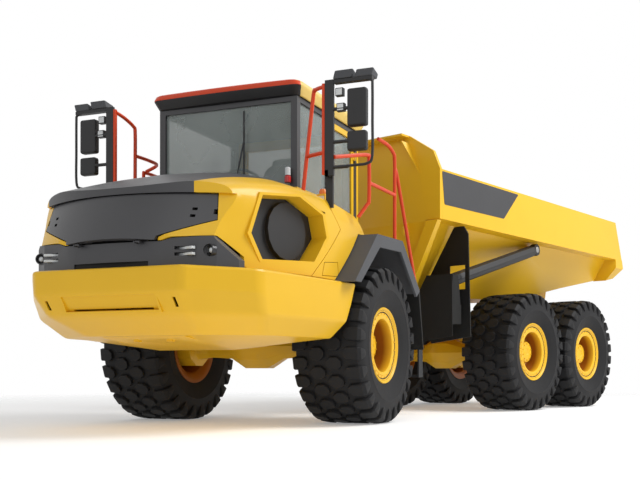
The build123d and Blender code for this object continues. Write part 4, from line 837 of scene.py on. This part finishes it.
for side, name in both_sides:
    heads, glasses = [], []
    for low, high, depth in ((2.832, 3.190, 0.085), (2.602, 2.790, 0.080)):
        heads.append((head_front - depth, head_inner, low, head_front, head_outer, high, 0))
        glasses.append((0.945 - depth, head_inner + glass_rim, low + glass_rim,
                        0.949 - depth, head_outer - glass_rim, high - glass_rim, 0))
    built("mirror_heads_" + name, bricks(heads, side), edge=0.024)
    built("mirror_glasses_" + name, bricks(glasses, side), mirror_glass, edge=0.001)
    parts = bricks(mirror_bricks, side)
    for z in (2.700, 3.010, 2.462):
        parts.append(tube([(0.925, side * 1.29, z), (0.925, side * 1.445, z)], 0.017))
    parts.append(tube(through(guard_corners, 4) * (1, side, 1), 0.013))
    built("mirror_set_" + name, parts, [black, lens.material], nodes=["mirrors_" + name])
    lamps = []
    for inner, outer, low, high in ((1.290, 1.480, 3.290, 3.372), (1.512, 1.688, 3.285, 3.360)):
        [(corners, faces, number)] = bricks([(0.800, inner, low, 0.945, outer, high, 0)], side)
        corners[corners[:, 0] < 0.9, 2] -= (corners[corners[:, 0] < 0.9, 2] - low) * 0.35
        corners[:, 1] += side * (corners[:, 2] - low) * 0.28
        lamps.append((corners, faces, number))
    built("work_lamps_" + name, lamps, grey, edge=0.012)

# Handrails
# Bent steel tube in orange enamel: a bar from each mirror plate down to the cowl with a flat strip
# beside the plate, and the rails round the walkway.
bent_runs = {
    "handrails_left": [
        [(0.83, 0.925, 2.24), (0.83, 0.985, 2.74), (0.83, 1.040, 3.20), (0.84, 1.060, 3.235),
         (0.87, 1.10, 3.240), (0.925, 1.19, 3.235)],
        [(0.83, 0.965, 2.61), (0.88, 1.08, 2.61), (0.925, 1.19, 2.61)],
        [(0.43, 1.34, 2.07), (0.36, 1.405, 2.20), (0.345, 1.42, 2.26), (0.345, 1.42, 2.64),
         (0.37, 1.415, 2.69), (0.60, 1.370, 2.64), (0.925, 1.30, 2.56)],
        [(-0.25, 1.47, 1.93), (-0.25, 1.47, 2.40), (-0.25, 1.47, 2.76), (-0.22, 1.465, 2.84),
         (-0.12, 1.44, 2.90), (0.05, 1.40, 2.93)],
        [(-0.25, 1.47, 2.66), (-0.31, 1.47, 2.63), (-0.60, 1.47, 2.10), (-0.925, 1.47, 1.49)],
        [(0.345, 1.42, 2.42), (0.05, 1.445, 2.41), (-0.25, 1.47, 2.40)]],
    "handrails_right": [
        [(0.925, -1.19, 3.235), (0.76, -1.20, 3.215), (0.61, -1.20, 3.165), (0.578, -1.20, 3.10),
         (0.578, -1.20, 2.70), (0.578, -1.20, 2.12)],
        [(0.578, -1.20, 2.857), (0.30, -1.20, 2.857), (0.13, -1.24, 2.85), (0.13, -1.38, 2.79)],
        [(0.15, -1.40, 1.925), (0.15, -1.40, 2.40), (0.15, -1.40, 2.74), (0.11, -1.40, 2.78),
         (-0.20, -1.40, 2.78), (-0.56, -1.40, 2.78), (-0.60, -1.40, 2.74), (-0.60, -1.40, 2.30),
         (-0.60, -1.40, 1.79)]]}
for (name, runs), side in zip(bent_runs.items(), (1, -1)):
    rails = [tube(through(run, 4), 0.019, 18) for run in runs]
    rails += bricks([(0.910, 1.180, 2.400, 0.940, 1.207, 3.262, 0)], side)
    built(name, rails, orange, ["handrails"] if side > 0 else [])

# Wiper and warning lamp
# A black pantograph wiper parked up the middle of the windscreen, and a small red lamp with its
# white lens on the cowl beside the screen.
wiper_parts = bricks([(0.712, 0.205, 2.52, 0.724, 0.220, 3.16, 0)])
wiper_parts.append(tube([(0.715, 0.10, 2.38), (0.722, 0.16, 2.62), (0.722, 0.22, 2.88)], 0.008, 10))
built("windscreen_wiper", wiper_parts, edge=0.002)
red_lens = speckled("red_lens", 25, (0.60, 0.015, 0.012), (0.50, 0.010, 0.010), 0.18, 0.1, 40,
                    (120, 0.0005, 0.3), Roughness=0.2)
warning_low = [(0.001, 0), (0.032, 0), (0.032, 0.055), (0.024, 0.066), (0.001, 0.070)]
warning_top = [(0.001, 0), (0.028, 0), (0.028, 0.070), (0.018, 0.080), (0.001, 0.082)]
warning_parts = [knob(warning_low, 28, (0.735, 0.715, 2.40)),
                 knob(warning_top, 28, (0.735, 0.715, 2.470), number=1)]
built("warning_lamp", warning_parts, [red_lens, lens.material], edge=0.001)

# Hoist pin heads
# Turned steel heads of the pins through the hoist cylinders' rod eyes.
steel = speckled("bare_steel", 30, (0.45, 0.45, 0.44), (0.32, 0.32, 0.31), 0.3, 0.15, 50, (250, 0.0003, 0.3),
                 Metallic=0.9, Roughness=0.35)
pin_head = [(0.001, 0.0), (0.042, 0.0), (0.042, 0.010), (0.030, 0.016), (0.001, 0.018)]
for side, name in both_sides:
    pin = knob(pin_head, 32, (-4.600, side * 1.276, 2.262), (0, side, 0))
    built("hoist_pin_" + name, [pin], steel, (), "hoist_rod_" + name, on_rear, 0.001)

# Bed panels
# A blank dark plate stuck on each side of the bed, ahead on its upper band.
panel_corners = np.array([(-2.092, 2.940), (-3.935, 2.934), (-3.548, 2.556), (-2.143, 2.544)])
for side, name in both_sides:
    plate = prism(rounded(panel_corners, 0.02, 3), "y", side * 1.3502, side * 1.3530)
    pressed(plate, "bed_panel_" + name, charcoal, (), "bed", on_rear, 0.0008)

# Glass
# Tinted flat panes bonded into the cab frame and the door.
pane = Finish("tinted_glass", Roughness=0.04, Transmission_Weight=0.0, IOR=1.45, Alpha=0.46)
haze = pane.noise(1.1, detail=5)
pane.coat(Base_Color=pane.mix(haze.step(0.35, 0.65), (0.27, 0.325, 0.31), (0.40, 0.455, 0.44)),
          Roughness=0.03 + 0.05 * haze, Normal=pane.bump(pane.noise(1.5), 0.002, 0.1))
for node in ("cab_glass", "door_glass"):
    glass_object = frame["nodes"][node]
    glass_object.data.materials.clear()
    glass_object.data.materials.append(pane.material)

# Tyres
# Wide earthmover tyres of moulded rubber, 1.61 m across: 26 shoulder lugs a side, set half a pitch
# apart, with six-cornered blocks between them down the middle, on a carcass with ribbed side walls.
lug_count = 26
groove = 0.036


def tyre_shape():
    """Carcass turned from its outline, then lugs lofted through sections along the tread's outline."""
    base = tyre_radius - groove
    outline = [(0.318, 0.255), (0.335, 0.292), (0.40, 0.312), (0.47, 0.352), (0.56, 0.366),
               (0.572, 0.372), (0.584, 0.367), (0.65, 0.364), (0.715, 0.346), (base - 0.012, 0.322),
               (base, 0.25), (base + 0.004, 0.0)]
    outline = outline + [(radius, -y) for radius, y in outline[-2::-1]]
    inner = [(0.318, -0.2), (0.305, 0.0), (0.318, 0.2)]
    points, faces = turned(outline + inner, 144)
    parts, shapes = [points], [faces]
    # columns of the shoulder lug: y, height above the axle, half width, slant along the tread
    shoulder = np.array([(0.196, tyre_radius, 0.026, -0.004), (0.226, tyre_radius, 0.058, -0.002),
                         (0.270, tyre_radius - 0.002, 0.062, 0.0), (0.338, tyre_radius - 0.012, 0.062, 0.004),
                         (0.366, tyre_radius - 0.042, 0.060, 0.006), (0.3735, 0.715, 0.050, 0.008),
                         (0.374, 0.668, 0.034, 0.009), (0.364, 0.640, 0.018, 0.010)])
    # columns of the centre block: the same, on one side of the middle
    centre = np.array([(0.012, tyre_radius + 0.001, 0.026, 0.0), (0.052, tyre_radius + 0.001, 0.064, 0.0),
                       (0.122, tyre_radius + 0.001, 0.064, 0.0), (0.164, tyre_radius, 0.028, 0.0)])
    pitch = 2 * np.pi / lug_count
    for rows, sides in ((shoulder, ((1, 0), (-1, 0.5))), (centre, ((1, 0.5), (-1, 0)))):
        sections = lug_sections(rows)
        for side, shift in sides:
            for turn in pitch * (np.arange(lug_count) + shift):
                spun = sections * (1, side, 1)
                x, z = spun[..., 0].copy(), spun[..., 2].copy()
                spun[..., 0] = x * math.cos(turn) + z * math.sin(turn)
                spun[..., 2] = z * math.cos(turn) - x * math.sin(turn)
                faces = lug_faces(*sections.shape[:2])
                parts.append(spun.reshape(-1, 3))
                shapes.append(faces[:, ::-1] if side < 0 else faces)
    return joined(parts, shapes)


def lug_sections(rows):
    """Sections of one lug: foot, shoulder of the chamfer and top on each side, wrapped on the tread."""
    y, top, half, slant = rows.T
    across = np.array([-1.16, -1.03, -0.90, 0.90, 1.03, 1.16])
    sink = np.array([groove + 0.016, 0.007, 0.0, 0.0, 0.007, groove + 0.016])
    reach = slant[:, None] + half[:, None] * across
    lift = top[:, None] - sink
    lean = np.clip((y - 0.33) / 0.04, 0, 1)[:, None]
    side_sink = np.array([0.030, 0.003, 0.0, 0.0, 0.003, 0.030])
    lift = np.where(lean > 0.5, top[:, None], lift)
    out = y[:, None] - lean * side_sink
    return np.stack([lift * np.sin(reach / tyre_radius), out, lift * np.cos(reach / tyre_radius)], axis=-1)


def lug_faces(count, width):
    """Quads along a lug's back and two end caps."""
    corners = width * np.arange(count - 1)[:, None] + np.arange(width - 1)
    quads = corners.reshape(-1, 1) + (0, width, width + 1, 1)
    last = (count - 1) * width
    caps = [(0, 1, 2, 3), (0, 3, 4, 5), (last + 3, last + 2, last + 1, last),
            (last + 5, last + 4, last + 3, last)]
    return np.vstack([quads, caps])


tread = Finish("tread_rubber")
wear = tread.noise(9, detail=6, roughness=0.65)
grit = tread.noise(70, detail=4, roughness=0.7)
low = tread.height_above_ground().step(0.5, 0.0)
tread.coat(Base_Color=tread.mix(low * 0.15 + wear.step(0.5, 0.8) * 0.25, (0.0085, 0.0085, 0.0095),
                                (0.026, 0.025, 0.024)),
           Roughness=0.66 + 0.2 * (wear - 0.5), Specular_IOR_Level=0.28,
           Normal=tread.bump(grit, 0.002, 0.4))
tyre_points, tyre_faces = tyre_shape()
wheels = [(f"{row}_{side}", row != "front", 1 if side == "left" else -1)
          for row in ("front", "middle", "rear") for side in ("left", "right")]


def at_wheel(points, wheel, behind, side):
    """Points measured from a wheel's middle, with Y towards the truck's outside, put at that wheel."""
    lowest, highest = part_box("tyre_" + wheel)
    middle = (np.array(lowest) + np.array(highest)) / 2
    turn = rear_turn if behind else np.eye(3)
    return (points * (side, side, 1)) @ turn.T + middle


for wheel, behind, side in wheels:
    tyre = shell("tyre_tread_" + wheel, at_wheel(tyre_points, wheel, behind, side), tyre_faces, crease=28)
    seated(tyre, "wheel_" + wheel, tread.material, ["tyre_" + wheel])


# Rims
# Pressed steel rims in the machine's yellow: a flanged barrel with a lock ring, a deep dished disc, a ring of
# wheel nuts and the hub's bolted cover.
# The inside of the barrel, the disc, the hub's sides and the nuts are darkened by painted shade.
def rim_shape(hub_reach):
    """The rim's outline turned about the axle, a lobed hub flange, nuts as turned hexagons, and the painted
    shade of each point.
    """
    outline = [(0.394, -0.318), (0.394, -0.292), (0.352, -0.288), (0.318, -0.275), (0.305, -0.20),
               (0.305, 0.20), (0.318, 0.262), (0.330, 0.280), (0.372, 0.284), (0.384, 0.288),
               (0.393, 0.296), (0.394, 0.308), (0.388, 0.318), (0.380, 0.317), (0.371, 0.306),
               (0.362, 0.300), (0.350, 0.299), (0.346, 0.293), (0.310, 0.291), (0.306, 0.296),
               (0.284, 0.296), (0.274, 0.290), (0.270, 0.280), (0.266, 0.190), (0.262, 0.110),
               (0.254, 0.084), (0.238, 0.070), (0.120, 0.066), (0.120, 0.020), (0.245, 0.020),
               (0.270, -0.05), (0.286, -0.27), (0.320, -0.30), (0.370, -0.318)]
    points, faces = turned(outline, 128)
    # painted shade: rising to full inside the barrel away from its outer edge, 0.55 on the disc, 0.25 on the
    # hub's sides and 0.2 on the nuts
    radius = np.hypot(points[:, 0], points[:, 2])
    in_barrel = np.clip((0.290 - points[:, 1]) / 0.05, 0, 1) * (radius > 0.23)
    parts, shapes, shade = [points], [faces], [in_barrel + 0.55 * (radius <= 0.23)]
    hub = [(0.004, 0.060), (0.190, 0.060), (0.196, 0.068), (0.196, 0.104), (0.188, 0.114), (0.158, 0.118),
           (0.150, 0.126), (0.142, hub_reach - 0.014), (0.134, hub_reach - 0.004), (0.120, hub_reach),
           (0.050, hub_reach), (0.044, hub_reach - 0.006), (0.004, hub_reach - 0.006)]
    points, faces = turned(hub, 120)
    radius, turn = np.hypot(points[:, 0], points[:, 2]), np.arctan2(points[:, 2], points[:, 0])
    lobe = 1 + 0.10 * np.cos(6 * turn) * np.clip((radius - 0.165) / 0.02, 0, 1)
    parts.append(points * np.stack([lobe, np.ones(len(lobe)), lobe], axis=1))
    shapes.append(faces)
    shade.append(0.25 * (points[:, 1] < hub_reach - 0.02))
    # columns of the rings of nuts: how many, circle radius, nut radius, foot, head
    for count, ring, size, foot, head in ((18, 0.172, 0.0125, 0.112, 0.136),
                                          (10, 0.112, 0.0090, hub_reach - 0.004, hub_reach + 0.010),
                                          (24, 0.328, 0.0075, 0.288, 0.300)):
        profile = [(0.001, foot), (size, foot), (size, head - 0.004), (size * 0.86, head), (0.001, head)]
        points, faces = turned(profile, 6)
        for turn in 2 * np.pi * (np.arange(count) + 0.5) / count:
            parts.append(points + (ring * math.cos(turn), 0, ring * math.sin(turn)))
            shapes.append(faces)
            shade.append(np.full(len(points), 0.2))
    return *joined(parts, shapes), np.concatenate(shade)


rim_paint = Finish("rim_enamel", Coat_Weight=0.1, Coat_Roughness=0.15, Specular_IOR_Level=0.3)
painted_recess_shade = rim_paint.make("ShaderNodeAttribute", "Fac", {"attribute_name": "painted_recess_shade"})
road = rim_paint.noise(5, detail=6, roughness=0.7).step(0.5, 0.85)
road = road * rim_paint.height_above_ground().step(1.2, 0.3)
# the rim's yellow goes over into a dark orange-brown painted shade where the points carry it
rim_base = rim_paint.mix(painted_recess_shade, (0.86, 0.50, 0.016), (0.30, 0.085, 0.004))
rim_paint.coat(Base_Color=rim_paint.mix(road * 0.4, rim_base, (0.30, 0.20, 0.09)),
               Roughness=0.36 + 0.1 * rim_paint.noise(30) + 0.3 * road,
               Normal=rim_paint.bump(rim_paint.noise(150), 0.0006, 0.2))
rim_shapes = {False: rim_shape(0.170), True: rim_shape(0.205)}
for wheel, behind, side in wheels:
    rim_points, rim_faces, rim_shade = rim_shapes[behind]
    rim = shell("rim_disc_" + wheel, at_wheel(rim_points, wheel, behind, side), rim_faces, crease=32)
    shade = rim.data.attributes.new("painted_recess_shade", "FLOAT", "POINT")
    shade.data.foreach_set("value", rim_shade.astype(np.float32))
    seated(rim, "wheel_" + wheel, rim_paint.material, ["rim_" + wheel])

# Floor and light
# A pale studio floor that runs out into a white surround, one large soft light high on the truck's
# left, a weaker one ahead of it and the surround itself.
truck_middle = (cad_low + cad_high) / 2
floor_mesh = bpy.data.meshes.new("floor")
far = 60
floor_mesh.from_pydata([(-far, -far, 0), (far, -far, 0), (far, far, 0), (-far, far, 0)], [], [(0, 1, 2, 3)])
floor = bpy.data.objects.new("floor", floor_mesh)
bpy.context.collection.objects.link(floor)
ground = Finish("pale_floor", Roughness=0.9, Specular_IOR_Level=0.1, Emission_Color=(1, 1, 1),
                Emission_Strength=0.25)
ground.coat(Base_Color=ground.mix(ground.noise(0.4), (0.90, 0.90, 0.90), (0.93, 0.93, 0.93)))
reach = ground.make("ShaderNodeVectorMath", "Value", {"operation": "LENGTH"}, Vector=ground.place)
clear = ground.make("ShaderNodeBsdfTransparent")
blend = ground.make("ShaderNodeMixShader", _0=reach.step(6.0, 13.0), _2=clear,
                    _1=Strand(ground.tree, ground.shader.outputs[0]))
ground.tree.links.new(blend.socket, ground.tree.nodes["Material Output"].inputs["Surface"])
floor.data.materials.append(ground.material)
floor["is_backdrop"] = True

world = bpy.data.worlds.new("studio")
bpy.context.scene.world = world
world.use_nodes = True
backdrop = world.node_tree.nodes["Background"]
path = world.node_tree.nodes.new("ShaderNodeLightPath")
seen = Strand(world.node_tree, path.outputs["Is Camera Ray"]).math(
    "MAXIMUM", Strand(world.node_tree, path.outputs["Is Glossy Ray"])).math(
    "MAXIMUM", Strand(world.node_tree, path.outputs["Is Transmission Ray"]))
world.node_tree.links.new((0.46 + 0.54 * seen).socket, backdrop.inputs["Strength"])
backdrop.inputs["Color"].default_value = (1, 1, 1, 1)
# columns of the lights: name, place from the truck's middle, size in metres, watts
for name, place, size, power in (("key", (-1.0, 9.5, 9.0), 7, 1450), ("front", (12.0, 2.0, 5.0), 6, 120)):
    light_data = bpy.data.lights.new(name, "AREA")
    light_data.size = size
    light_data.energy = power
    light = bpy.data.objects.new(name, light_data)
    light.location = truck_middle + Vector(place)
    light.rotation_euler = (-Vector(place)).to_track_quat("-Z", "Y").to_euler()
    bpy.context.collection.objects.link(light)

low_corner, high_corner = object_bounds()
size = {"cad": [list(cad_low), list(cad_high)], "visual": [list(low_corner), list(high_corner)]}
